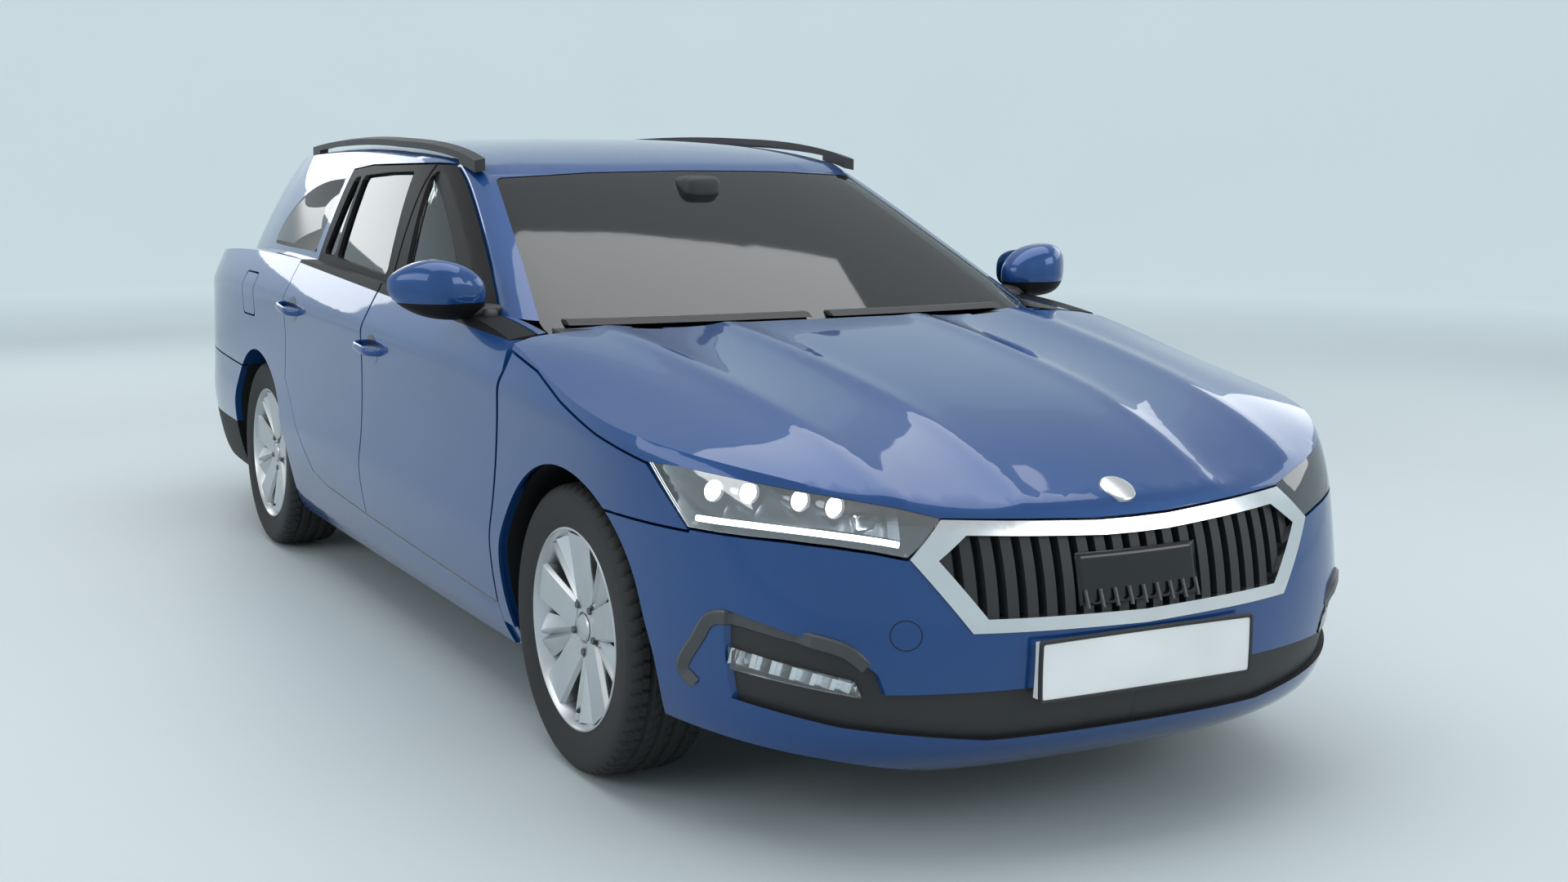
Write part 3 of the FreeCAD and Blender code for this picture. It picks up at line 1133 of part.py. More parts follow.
silencer = Part.makeCylinder(exhaustR * 3, size("silencer_length"),
                             Vector(size("silencer_x"), size("exhaust_y"), exhaustZ + exhaustR * 3), xAxis)
keep("exhaust", exhaust.fuse(silencer))
# Wipers on the windscreen base
bladeShares = ((0.05, 0.66), (0.74, 0.02))
wipers = []
for yStart, yEnd in bladeShares:
    low = min(yStart, yEnd) * halfWidth
    high = max(yStart, yEnd) * halfWidth
    strip = cabinBody(-size("wiper_height")).cut(cabinBody(-fit))
    strip = strip.common(box(0, reach, low, high, size("wiper_z"), size("wiper_z") + size("wiper_width")))
    wipers.append(largest(strip))
wipers[1] = mirrored(wipers[1])
keep("wipers", Part.makeCompound(wipers))

doc.recompute()
os.makedirs("parts", exist_ok=True)
for item in nodes:
    states = [state for state in item.State if state in ("Invalid", "Error")]
    if states or item.Shape.isNull() or not item.Shape.isValid():
        raise RuntimeError("failed piece: " + item.Label)
for item in nodes:
    item.Shape.exportStep("parts/" + item.Label + ".step")
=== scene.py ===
import json
import math

import bmesh
import bpy
import numpy as np
from mathutils import Matrix, Vector
from mathutils.bvhtree import BVHTree

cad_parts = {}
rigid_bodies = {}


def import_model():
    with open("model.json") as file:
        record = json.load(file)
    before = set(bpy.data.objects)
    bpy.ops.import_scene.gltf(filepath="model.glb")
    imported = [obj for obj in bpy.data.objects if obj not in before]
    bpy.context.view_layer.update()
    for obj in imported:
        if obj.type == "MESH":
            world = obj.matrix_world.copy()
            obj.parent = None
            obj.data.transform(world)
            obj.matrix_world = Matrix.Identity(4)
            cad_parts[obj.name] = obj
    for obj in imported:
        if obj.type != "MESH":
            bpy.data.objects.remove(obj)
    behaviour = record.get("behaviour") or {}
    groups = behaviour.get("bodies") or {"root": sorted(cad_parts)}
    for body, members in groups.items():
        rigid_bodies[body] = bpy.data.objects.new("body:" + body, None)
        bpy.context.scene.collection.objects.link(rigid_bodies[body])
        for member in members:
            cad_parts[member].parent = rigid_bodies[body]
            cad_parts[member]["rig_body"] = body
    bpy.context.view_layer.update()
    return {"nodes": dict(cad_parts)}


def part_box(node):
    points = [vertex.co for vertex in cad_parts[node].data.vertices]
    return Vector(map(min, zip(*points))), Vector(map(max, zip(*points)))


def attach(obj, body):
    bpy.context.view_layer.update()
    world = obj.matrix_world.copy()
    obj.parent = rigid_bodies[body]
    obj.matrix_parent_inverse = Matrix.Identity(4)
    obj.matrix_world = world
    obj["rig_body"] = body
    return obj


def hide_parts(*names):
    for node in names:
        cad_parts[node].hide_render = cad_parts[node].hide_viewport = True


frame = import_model()
nodes = frame["nodes"]
sides = {"left": 1.0, "right": -1.0}
print("stage: frame loaded")


# Shader maths
class Wire:
    # one socket of a material; sums written on it add their Math nodes
    def __init__(self, socket):
        self.socket = socket
        self.tree = socket.id_data

    def make(self, kind, settings=None, values=None, output=0):
        # any other node, its settings first, then the values or wires of its sockets
        node = self.tree.nodes.new(kind)
        for key, value in (settings or {}).items():
            if key == "stops":
                ramp = node.color_ramp
                while len(ramp.elements) < len(value):
                    ramp.elements.new(0.5)
                for element, (place, colour) in zip(ramp.elements, value):
                    element.position = place
                    element.color = colour
            else:
                setattr(node, key, value)
        for key, value in (values or {}).items():
            if isinstance(value, Wire):
                self.tree.links.new(value.socket, node.inputs[key])
            else:
                node.inputs[key].default_value = value
        return Wire(node.outputs[output])

    def maths(self, operation, first, second=None, clamp=False):
        values = {0: first} if second is None else {0: first, 1: second}
        return self.make("ShaderNodeMath", {"operation": operation, "use_clamp": clamp}, values)

    def __add__(self, other):
        return self.maths("ADD", self, other)

    def __radd__(self, other):
        return self.maths("ADD", other, self)

    def __sub__(self, other):
        return self.maths("SUBTRACT", self, other)

    def __rsub__(self, other):
        return self.maths("SUBTRACT", other, self)

    def __mul__(self, other):
        return self.maths("MULTIPLY", self, other)

    def __rmul__(self, other):
        return self.maths("MULTIPLY", other, self)

    def __truediv__(self, other):
        return self.maths("DIVIDE", self, other)

    def over(self, level, softness=0.0005):
        # 0 below the level and 1 above it, over a short ramp
        values = {0: self, 1: 1 / softness, 2: -level / softness}
        return self.make("ShaderNodeMath", {"operation": "MULTIPLY_ADD", "use_clamp": True}, values)

    def colours(self, first, second):
        # first where this mask is 0, second where it is 1
        return self.make("ShaderNodeMix", {"data_type": "RGBA"}, {0: self, 6: first, 7: second}, 2)

    def noise(self, scale, detail=2.0, roughness=0.5):
        values = {"Vector": self, "Scale": scale, "Detail": detail, "Roughness": roughness}
        return self.make("ShaderNodeTexNoise", {}, values)

    def bump(self, strength, distance):
        return self.make("ShaderNodeBump", {}, {"Height": self, "Strength": strength, "Distance": distance})


def rgba(colour):
    return (colour[0], colour[1], colour[2], 1.0)


class Finish:
    # a material with its main shader and its object coordinates
    def __init__(self, name, **values):
        self.material = bpy.data.materials.new(name)
        self.material.use_nodes = True
        self.tree = self.material.node_tree
        self.shader = self.tree.nodes["Principled BSDF"]
        coordinates = self.tree.nodes.new("ShaderNodeTexCoord")
        self.place = Wire(coordinates.outputs["Object"])
        parts = (self.place.make("ShaderNodeSeparateXYZ", {}, {0: self.place}, k) for k in range(3))
        self.x, self.y, self.z = parts
        for key, value in values.items():
            self.shader.inputs[key.replace("_", " ")].default_value = value
        self.material.diffuse_color = values.get("Base_Color", (0.5, 0.5, 0.5, 1.0))

    def feed(self, socket, wire):
        self.tree.links.new(wire.socket, self.shader.inputs[socket])
        return self


# Finishes
black = (0.0, 0.0, 0.0, 1.0)
paintLook = {"blue": (0.010, 0.072, 0.250), "shade": (0.006, 0.044, 0.165), "trim": (0.008, 0.008, 0.009),
             "metal": 0.35, "coat": 1.0, "edge": 0.001}


def paintFinish(name, trimAbove=None, trimSlope=0.0, trimBelow=None):
    # blue metallic under a clear coat; black trim above or below a line over z, where one is given
    look = paintLook
    made = Finish(name, Metallic=look["metal"], Coat_Weight=look["coat"], Coat_Roughness=0.03,
                  Roughness=0.38, Specular_IOR_Level=0.1, Base_Color=rgba(look["blue"]))
    flakes = made.place.noise(900, 1.0)
    broad = made.place.noise(1.3, 2.0)
    mix = (flakes - 0.5) * 0.55 + (broad - 0.5) * 0.5 + 0.5
    colour = mix.colours(rgba(look["shade"]), rgba(look["blue"]))
    rough = flakes * 0.12 + 0.3
    mask = None
    if trimAbove is not None:
        mask = (made.z - made.x * trimSlope).over(trimAbove, look["edge"])
    if trimBelow is not None:
        low = 1 - made.z.over(trimBelow, look["edge"])
        mask = low if mask is None else made.place.maths("MAXIMUM", mask, low)
    if mask is not None:
        colour = mask.colours(colour, rgba(look["trim"]))
        rough = rough * (1 - mask) + mask * 0.5
        made.feed("Metallic", (1 - mask) * look["metal"]).feed("Coat Weight", 1 - mask)
    made.feed("Base Color", colour).feed("Roughness", rough)
    peel = made.place.noise(160, 2.0)
    made.feed("Normal", peel.bump(0.02, 0.001))
    return made.material


def plasticFinish(name, colour, rough, grain=0.12, scale=900):
    # moulded plastic with a fine grain
    made = Finish(name, Base_Color=rgba(colour), Roughness=rough)
    speckle = made.place.noise(scale, 2.0)
    light = tuple(min(c * 1.35 + 0.003, 1) for c in colour)
    made.feed("Base Color", made.place.noise(4.0, 2.0).colours(rgba(colour), rgba(light)))
    made.feed("Roughness", speckle * 0.16 + (rough - 0.08))
    made.feed("Normal", speckle.bump(grain, 0.0006))
    return made.material


def metalFinish(name, colour, rough, brushed=0.0, flake=0.0):
    # painted or polished metal; brushed gives fine lines across the car
    made = Finish(name, Base_Color=rgba(colour), Metallic=1.0, Roughness=rough)
    cloud = made.place.noise(12.0, 3.0)
    dark = tuple(c * 0.86 for c in colour)
    made.feed("Base Color", cloud.colours(rgba(dark), rgba(colour)))
    made.feed("Roughness", cloud * 0.1 + (rough - 0.05))
    if brushed:
        lines = made.place.make("ShaderNodeMapping", {}, {"Vector": made.place, "Scale": (900, 14, 900)})
        made.feed("Normal", lines.noise(1.0, 2.0).bump(brushed, 0.0004))
    elif flake:
        made.feed("Normal", made.place.noise(1400, 1.0).bump(flake, 0.0004))
    return made.material


def glassFinish(name, tint, clear):
    # thin tinted glass: mostly see-through, mirror-like at a slant
    made = Finish(name, Base_Color=(0.95, 0.96, 0.97, 1), Metallic=1.0, Roughness=0.03)
    made.material.surface_render_method = "BLENDED"
    through = made.place.make("ShaderNodeBsdfTransparent", {}, {"Color": rgba(tint)})
    fresnel = made.place.make("ShaderNodeFresnel", {}, {"IOR": 1.5})
    share = made.place.maths("MINIMUM", fresnel + (1 - clear), 1.0)
    mirror = Wire(made.shader.outputs[0])
    mixed = made.place.make("ShaderNodeMixShader", {}, {0: share, 1: through, 2: mirror})
    out = made.tree.nodes["Material Output"]
    made.tree.links.new(mixed.socket, out.inputs[0])
    return made.material


def glowFinish(name, colour, strength):
    # light source whose colour varies a little over its face
    made = Finish(name, Base_Color=rgba(colour), Roughness=0.3, Emission_Color=rgba(colour),
                  Emission_Strength=strength)
    weaker = rgba(tuple(c * 0.85 for c in colour))
    made.feed("Emission Color", made.place.noise(60, 1.0).colours(weaker, rgba(colour)))
    return made.material


def clothFinish(name, colour, scale=1500):
    # woven seat cloth: two crossed sets of threads and a soft mottle
    made = Finish(name, Base_Color=rgba(colour), Roughness=0.92, Sheen_Weight=0.35, Sheen_Roughness=0.4)
    bands = {"Vector": made.place, "Scale": scale / 6, "Distortion": 0.4, "Detail": 1.0}
    ways = [{"wave_type": "BANDS", "bands_direction": way} for way in ("Y", "DIAGONAL")]
    threads, other = (made.place.make("ShaderNodeTexWave", way, bands, 1) for way in ways)
    weave = threads * other
    mottle = made.place.noise(40, 3.0)
    light = tuple(c * 2.0 + 0.01 for c in colour)
    made.feed("Base Color", (weave * 0.6 + mottle * 0.4).colours(rgba(colour), rgba(light)))
    made.feed("Roughness", mottle * 0.1 + 0.85)
    made.feed("Normal", weave.bump(0.3, 0.0008))
    return made.material


paint = paintFinish("bluePaint")
blackPlastic = plasticFinish("grainedTrim", (0.016, 0.016, 0.018), 0.55)
glossBlack = plasticFinish("glossTrim", (0.006, 0.006, 0.007), 0.16, 0.01)
satinChrome = metalFinish("satinChrome", (0.78, 0.79, 0.80), 0.2, 0.06)
alloySilver = metalFinish("wheelSilver", (0.62, 0.635, 0.65), 0.34, 0.0, 0.05)
steelGrey = metalFinish("brakeSteel", (0.36, 0.35, 0.34), 0.42, 0.1)
darkMetal = metalFinish("underbody", (0.045, 0.047, 0.05), 0.6, 0.0, 0.1)
tyreRubber = plasticFinish("tyreRubber", (0.012, 0.012, 0.0125), 0.75, 0.25, 420)
redLens = plasticFinish("redLens", (0.30, 0.006, 0.012), 0.12, 0.01)
plateWhite = plasticFinish("plateWhite", (0.74, 0.74, 0.74), 0.45, 0.02)
lampWhite = glowFinish("lampLight", (0.93, 0.97, 1.0), 5.0)
lampGrey = metalFinish("lampReflector", (0.55, 0.57, 0.6), 0.22)
clearGlass = glassFinish("clearLens", (0.97, 0.98, 0.99), 0.9)
cabinGlass = glassFinish("windowGlass", (0.70, 0.74, 0.72), 0.98)
darkCloth = clothFinish("seatCloth", (0.022, 0.022, 0.024))
greyCloth = clothFinish("liningCloth", (0.30, 0.29, 0.275), 900)
darkDash = plasticFinish("dashPlastic", (0.02, 0.02, 0.021), 0.6, 0.3, 500)
boltGrey = metalFinish("boltGrey", (0.16, 0.165, 0.17), 0.4)
lampPale = metalFinish("lampPale", (0.82, 0.84, 0.86), 0.15)
greyTrim = plasticFinish("greyTrim", (0.045, 0.048, 0.052), 0.42, 0.08)
satinDark = plasticFinish("satinDark", (0.022, 0.023, 0.025), 0.32, 0.03)
seamBlack = plasticFinish("seamBlack", (0.004, 0.004, 0.005), 0.8)
mirrorSilver = metalFinish("mirrorSilver", (0.82, 0.84, 0.85), 0.03)
doorCard = plasticFinish("doorCard", (0.030, 0.030, 0.031), 0.7, 0.2, 500)
redGlow = glowFinish("tailGlow", (0.75, 0.03, 0.03), 0.6)
print("stage: finishes made")


# Mesh helpers
def meshPiece(name, points, faces, body, finish, smooth=40):
    # object at the origin from points and faces, with outward normals and smooth shading up to an angle
    mesh = bpy.data.meshes.new(name)
    mesh.from_pydata(np.asarray(points, float).reshape(-1, 3).tolist(), [], [tuple(f) for f in faces])
    mesh.validate()
    piece = bpy.data.objects.new(name, mesh)
    bpy.context.scene.collection.objects.link(piece)
    tidyMesh(mesh)
    shadeSmooth(mesh, smooth)
    mesh.materials.append(finish)
    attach(piece, body)
    return piece


def tidyMesh(mesh, distance=1e-5):
    shape = bmesh.new()
    shape.from_mesh(mesh)
    bmesh.ops.remove_doubles(shape, verts=shape.verts, dist=distance)
    bmesh.ops.recalc_face_normals(shape, faces=shape.faces)
    shape.to_mesh(mesh)
    shape.free()


def shadeSmooth(mesh, angle):
    mesh.polygons.foreach_set("use_smooth", np.ones(len(mesh.polygons), bool))
    mesh.set_sharp_from_angle(angle=math.radians(angle))


def gridFaces(rows, columns, closeRows=False, closeColumns=False):
    # quads between neighbouring grid points, wrapped round where a direction is closed
    i = np.arange(rows if closeRows else rows - 1)
    j = np.arange(columns if closeColumns else columns - 1)
    a, b = np.meshgrid(i, j, indexing="ij")
    nextA, nextB = (a + 1) % rows, (b + 1) % columns
    quads = np.stack([a * columns + b, nextA * columns + b, nextA * columns + nextB, a * columns + nextB], -1)
    return quads.reshape(-1, 4).tolist()


def cappedFaces(grid, closeRows, closeColumns, caps):
    # faces of a grid; caps close the two ends of a tube
    rows, columns = grid.shape[:2]
    faces = gridFaces(rows, columns, closeRows, closeColumns)
    if caps:
        faces.append(list(range(columns)))
        faces.append(list(range((rows - 1) * columns, rows * columns)))
    return faces


def gridPiece(name, grid, body, finish, closeRows=False, closeColumns=False, caps=False, smooth=40):
    # surface from an array of rows, columns and xyz
    return meshPiece(name, grid, cappedFaces(grid, closeRows, closeColumns, caps), body, finish, smooth)


def rodPiece(name, grid, body, finish, smooth=40):
    return gridPiece(name, grid, body, finish, False, True, True, smooth)


def shellPiece(name, grid, body, finish, smooth=40):
    return gridPiece(name, grid, body, finish, False, True, False, smooth)


def tubeGrid(path, radius, around=12, squash=1.0, turn=0.0, up=(0, 0, 1)):
    # circle or ellipse carried along a path: centre + across * cos + lift * sin
    path = np.asarray(path, float)
    along = np.gradient(path, axis=0)
    along /= np.linalg.norm(along, axis=1, keepdims=True)
    across = np.cross(along, np.asarray(up, float))
    across /= np.maximum(np.linalg.norm(across, axis=1, keepdims=True), 1e-9)
    lift = np.cross(across, along)
    angle = np.linspace(0, 2 * np.pi, around, endpoint=False) + turn
    radius = np.broadcast_to(np.asarray(radius, float), (len(path),))[:, None, None]
    c, s = np.cos(angle)[None, :, None], np.sin(angle)[None, :, None]
    return path[:, None] + (across[:, None] * c + lift[:, None] * s * squash) * radius


def superBox(centre, size, power=4.0, rows=24, columns=32):
    # rounded block: a sphere whose sines and cosines are raised to a power, so its sides flatten
    u = np.linspace(-np.pi / 2, np.pi / 2, rows)[:, None]
    v = np.linspace(0, 2 * np.pi, columns, endpoint=False)[None]

    def bent(value):
        return np.sign(value) * np.abs(value) ** (2 / power)

    x = bent(np.cos(u)) * bent(np.cos(v))
    y = bent(np.cos(u)) * bent(np.sin(v))
    z = bent(np.sin(u)) * np.ones_like(v)
    return np.stack([x, y, z], -1) * (np.asarray(size) / 2) + np.asarray(centre)


def bezierPath(points, count=24):
    # smooth line through the points: Catmull-Rom blend worked out for all parameters at once
    points = np.asarray(points, float)
    padded = np.vstack([2 * points[0] - points[1], points, 2 * points[-1] - points[-2]])
    t = np.linspace(0, len(points) - 1 - 1e-9, count)
    k = t.astype(int)
    f = (t - k)[:, None]
    p0, p1, p2, p3 = padded[k], padded[k + 1], padded[k + 2], padded[k + 3]
    return 0.5 * (2 * p1 + (p2 - p0) * f + (2 * p0 - 5 * p1 + 4 * p2 - p3) * f ** 2
                  + (3 * p1 - p0 - 3 * p2 + p3) * f ** 3)


def turnedGrid(profile, centre, axis="y", count=64):
    # outline of radius and width turned round an axis
    profile = np.asarray(profile, float)
    angle = np.linspace(0, 2 * np.pi, count, endpoint=False)
    r, w = profile[:, 0][:, None], profile[:, 1][:, None]
    c, s = np.cos(angle)[None], np.sin(angle)[None]
    a, b, w = r * c, r * s, w + 0 * c
    return np.stack({"x": (w, a, b), "y": (a, w, b), "z": (a, b, w)}[axis], -1) + np.asarray(centre, float)


def baked(piece):
    # applies all modifiers of a piece
    depsgraph = bpy.context.evaluated_depsgraph_get()
    mesh = bpy.data.meshes.new_from_object(piece.evaluated_get(depsgraph))
    old = piece.data
    piece.modifiers.clear()
    piece.data = mesh
    bpy.data.meshes.remove(old)
    return piece


def mergedCopy(name, node, finish, smooth=30):
    # the CAD node's own faces, joined into one smooth skin that stands for it
    source = nodes[node]
    mesh = source.data.copy()
    mesh.name = name
    piece = bpy.data.objects.new(name, mesh)
    bpy.context.scene.collection.objects.link(piece)
    shape = bmesh.new()
    shape.from_mesh(mesh)
    bmesh.ops.remove_doubles(shape, verts=shape.verts, dist=2e-5)
    shape.to_mesh(mesh)
    shape.free()
    if mesh.has_custom_normals:
        bpy.context.view_layer.objects.active = piece
        piece.select_set(True)
        bpy.ops.mesh.customdata_custom_splitnormals_clear()
        piece.select_set(False)
    shadeSmooth(mesh, smooth)
    mesh.materials.clear()
    mesh.materials.append(finish)
    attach(piece, source["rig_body"])
    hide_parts(node)
    return piece


def dress(node, finish):
    # gives a CAD node its material
    mesh = nodes[node].data
    mesh.materials.clear()
    mesh.materials.append(finish)


# Helpers for pieces that lie on the body
def skinTree(*names):
    # search tree over the faces of several CAD nodes
    points, faces = [], []
    for name in names:
        mesh = nodes[name].data
        start = len(points)
        points += [tuple(vertex.co) for vertex in mesh.vertices]
        faces += [tuple(k + start for k in polygon.vertices) for polygon in mesh.polygons]
    return BVHTree.FromPolygons(points, faces)


def dropped(tree, points, direction, lift=0.0):
    # moves each point along a direction until it meets the tree, then back by the lift
    direction = Vector(direction).normalized()
    start = np.asarray(points, float).reshape(-1, 3)
    reach = np.full(len(start), np.nan)
    for number, point in enumerate(start):
        place = tree.ray_cast(Vector(point), direction)[0]
        if place is not None:
            reach[number] = (place - Vector(point)).dot(direction) - lift
    known = ~np.isnan(reach)
    order = np.arange(len(start))
    reach = np.interp(order, order[known], reach[known]) if known.any() else np.zeros(len(start))
    return (start + np.array(direction) * reach[:, None]).reshape(np.asarray(points).shape)


def rod(grid):
    return grid, False, True, True


def shell(grid):
    return grid, False, True, False


def joinedPiece(name, parts, body, finish, smooth=35):
    # several grids as one piece; each part is (grid, close rows, close columns, caps)
    points, faces = [], []
    for grid, closeRows, closeColumns, caps in parts:
        start = sum(len(block) for block in points)
        faces += [[k + start for k in face] for face in cappedFaces(grid, closeRows, closeColumns, caps)]
        points.append(grid.reshape(-1, 3))
    return meshPiece(name, np.vstack(points), faces, body, finish, smooth)


cabinMiddle = {"rear": -1.7, "front": 0.7, "height": 0.72}


def linedInside(piece, finish, limit=-0.15):
    # faces that look towards the middle line of the cabin get the lining
    mesh = piece.data
    mesh.materials.append(finish)
    count = len(mesh.polygons)
    normal = np.empty(count * 3)
    centre = np.empty(count * 3)
    mesh.polygons.foreach_get("normal", normal)
    mesh.polygons.foreach_get("center", centre)
    normal, centre = normal.reshape(-1, 3), centre.reshape(-1, 3)
    middle = np.zeros_like(centre)
    middle[:, 0] = np.clip(centre[:, 0], cabinMiddle["rear"], cabinMiddle["front"])
    middle[:, 2] = cabinMiddle["height"]
    away = centre - middle
    away /= np.linalg.norm(away, axis=1, keepdims=True)
    inner = (normal * away).sum(1) < limit
    mesh.polygons.foreach_set("material_index", inner.astype(np.int32))
    return piece


# Camera, floor and light
view = {"place": (5.0955, -2.4589, 1.3786), "yaw": 155.91, "pitch": -7.304, "roll": -0.135, "lens": 41.76,
        "shift": (0.1279, -0.03355)}


def setCamera():
    yaw, pitch, roll = (math.radians(view[key]) for key in ("yaw", "pitch", "roll"))
    ahead = Vector((math.cos(pitch) * math.cos(yaw), math.cos(pitch) * math.sin(yaw), math.sin(pitch)))
    level = ahead.cross(Vector((0, 0, 1))).normalized()
    rise = level.cross(ahead)
    right = level * math.cos(roll) + rise * math.sin(roll)
    up = rise * math.cos(roll) - level * math.sin(roll)
    data = bpy.data.cameras.new("photoCamera")
    data.lens = view["lens"]
    data.sensor_width = 36
    data.sensor_fit = "HORIZONTAL"
    data.shift_x, data.shift_y = view["shift"]
    data.clip_end = 200
    camera = bpy.data.objects.new("photoCamera", data)
    bpy.context.scene.collection.objects.link(camera)
    turn = Matrix((right, up, -ahead)).transposed().to_4x4()
    camera.matrix_world = Matrix.Translation(view["place"]) @ turn
    bpy.context.scene.camera = camera


stageLook = {
    "dark": (0.50, 0.555, 0.57), "pale": (0.53, 0.585, 0.60), "glow": (0.50, 0.565, 0.60), "strength": 0.52,
    "near": 4.5, "size": 14.0, "bend": 3.0, "sky": (0.80, 0.86, 0.90), "skyStrength": 0.66,
    "lamps": (
        ("ceiling", (0.5, 0.0, 5.2), (0.3, 0.0, 0.0), (7.0, 5.0), 200),
        ("frontLeft", (6.5, 4.0, 3.2), (1.2, 0.3, 0.6), (4.0, 2.5), 90),
        ("rightSide", (1.0, -7.0, 3.4), (0.0, -0.5, 0.6), (7.0, 2.6), 120),
        ("leftSide", (0.0, 7.0, 3.6), (0.0, 0.5, 0.6), (7.0, 2.6), 90),
        ("rear", (-7.5, -1.0, 3.4), (-1.5, 0.0, 0.7), (4.0, 2.6), 80),
    ),
}


def backdropFinish():
    # pale floor that glows more and more away from the car
    look = stageLook
    made = Finish("paleFloor", Base_Color=rgba(look["dark"]), Roughness=0.6)
    made.feed("Base Color", made.place.noise(0.6, 2.0).colours(rgba(look["dark"]), rgba(look["pale"])))
    far = made.place.make("ShaderNodeVectorMath", {"operation": "LENGTH"}, {0: made.place}, 1)
    glow = (far - look["near"]).maths("MULTIPLY", far - look["near"], 1 / 9, True)
    made.shader.inputs["Emission Strength"].default_value = look["strength"]
    made.feed("Emission Color", glow.colours(black, rgba(look["glow"])))
    return made.material


def setStage():
    # floor that bends up into a far backdrop: a profile of distance and height turned round the car
    size, bend = stageLook["size"], stageLook["bend"]
    turn = np.linspace(0, np.pi / 2, 12)[1:]
    radius = np.concatenate([[0.01, 3, 6, 9, size], size + bend * np.sin(turn), [size + bend, size + bend]])
    height = np.concatenate([[0, 0, 0, 0, 0], bend - bend * np.cos(turn), [6, 12]])
    grid = turnedGrid(np.stack([radius, height], -1), (0, 0, 0), "z", 96)
    mesh = bpy.data.meshes.new("studioFloor")
    mesh.from_pydata(grid.reshape(-1, 3).tolist(), [], gridFaces(grid.shape[0], grid.shape[1], False, True))
    floor = bpy.data.objects.new("studioFloor", mesh)
    bpy.context.scene.collection.objects.link(floor)
    tidyMesh(mesh, 0.02)
    shadeSmooth(mesh, 60)
    mesh.materials.append(backdropFinish())
    world = bpy.data.worlds.new("softWorld")
    bpy.context.scene.world = world
    world.use_nodes = True
    tree = world.node_tree
    background = tree.nodes["Background"]
    background.inputs[0].default_value = rgba(stageLook["sky"])
    background.inputs[1].default_value = stageLook["skyStrength"]
    for name, place, aim, extent, power in stageLook["lamps"]:
        data = bpy.data.lights.new(name, "AREA")
        data.shape = "RECTANGLE"
        data.size, data.size_y = extent
        data.energy = power
        lamp = bpy.data.objects.new(name, data)
        bpy.context.scene.collection.objects.link(lamp)
        lamp.location = place
        lamp.rotation_euler = (Vector(aim) - Vector(place)).to_track_quat("-Z", "Y").to_euler()
    bpy.context.scene.view_settings.view_transform = "Standard"


setCamera()
setStage()
print("stage: camera, floor and lights")


# CAD nodes that keep their shape get a finish
doorPaint = paintFinish("doorPaint", trimAbove=0.992, trimSlope=-0.045)
mirrorPaint = paintFinish("mirrorPaint", trimBelow=1.012)
rearPaint = paintFinish("rearPaint", trimBelow=0.395)


def wheelFinish():
    # silver face, brake steel behind it
    made = Finish("wheelAndDisc", Base_Color=(0.62, 0.635, 0.65, 1), Metallic=1.0, Roughness=0.34)
    inner = 1 - made.y.maths("ABSOLUTE", made.y).over(0.72, 0.001)
    cloud = made.place.noise(14.0, 3.0)
    silver = cloud.colours((0.56, 0.575, 0.59, 1), (0.66, 0.675, 0.69, 1))
    made.feed("Base Color", inner.colours(silver, (0.26, 0.25, 0.24, 1)))
    made.feed("Roughness", cloud * 0.08 + 0.28 + inner * 0.15)
    made.feed("Normal", made.place.noise(1400, 1.0).bump(0.04, 0.0004))
    return made.material


wheelSilver = wheelFinish()
simpleDress = (
    (blackPlastic, "roof_rails", "cowl", "wipers", "grilles"),
    (darkMetal, "floorpan", "engine_block", "rear_axle"),
    (steelGrey, "exhaust", "knuckle_left", "knuckle_right"),
    (darkDash, "dashboard", "steering_wheel"),
    (darkCloth, "front_seats", "rear_bench"),
    (plateWhite, "plate_front", "plate_rear"),
    (cabinGlass, "fixed_glass", "tailgate_glass"),
    (redLens, "tail_lamps_inner", "tail_lamps_outer"),
    (glossBlack, "headlamp_housings"), (clearGlass, "front_lenses"), (satinChrome, "grille_surround"),
    (paint, "fuel_flap"),
)
for finish, *names in simpleDress:
    for node in names:
        dress(node, finish)
for side in sides:
    dress("front_door_glass_" + side, cabinGlass)
    dress("rear_door_glass_" + side, cabinGlass)
    dress("mirror_" + side, mirrorPaint)
    for end in ("front_", "rear_"):
        dress("tyre_" + end + side, tyreRubber)
        dress("rim_" + end + side, wheelSilver)
        door = end + "door_" + side
        linedInside(mergedCopy(door + "_skin", door, doorPaint), doorCard)
    linedInside(mergedCopy("side_frame_skin_" + side, "side_frame_" + side, paint), greyCloth)
    linedInside(mergedCopy("fender_skin_" + side, "fender_" + side, paint), blackPlastic)
for node, lining in (("bonnet", darkMetal), ("front_bumper", blackPlastic), ("rear_bumper", blackPlastic),
                     ("roof_panel", greyCloth), ("tailgate", doorCard)):
    finish = rearPaint if node == "rear_bumper" else paint
    linedInside(mergedCopy(node + "_skin", node, finish), lining)
print("stage: CAD pieces dressed")


# Tyres: tread blocks cut into a rounded profile
tyreLook = {"outer": 0.328, "bead": 0.2295, "flat": 0.080, "fall": 0.004, "beadHalf": 0.0935,
            "grooves": (-0.052, -0.018, 0.018, 0.052), "grooveHalf": 0.003, "groove": 0.0075,
            "blocks": 62, "columns": 372}
wheelX = {"front": 1.465, "rear": -1.221}
wheelMid = 0.770


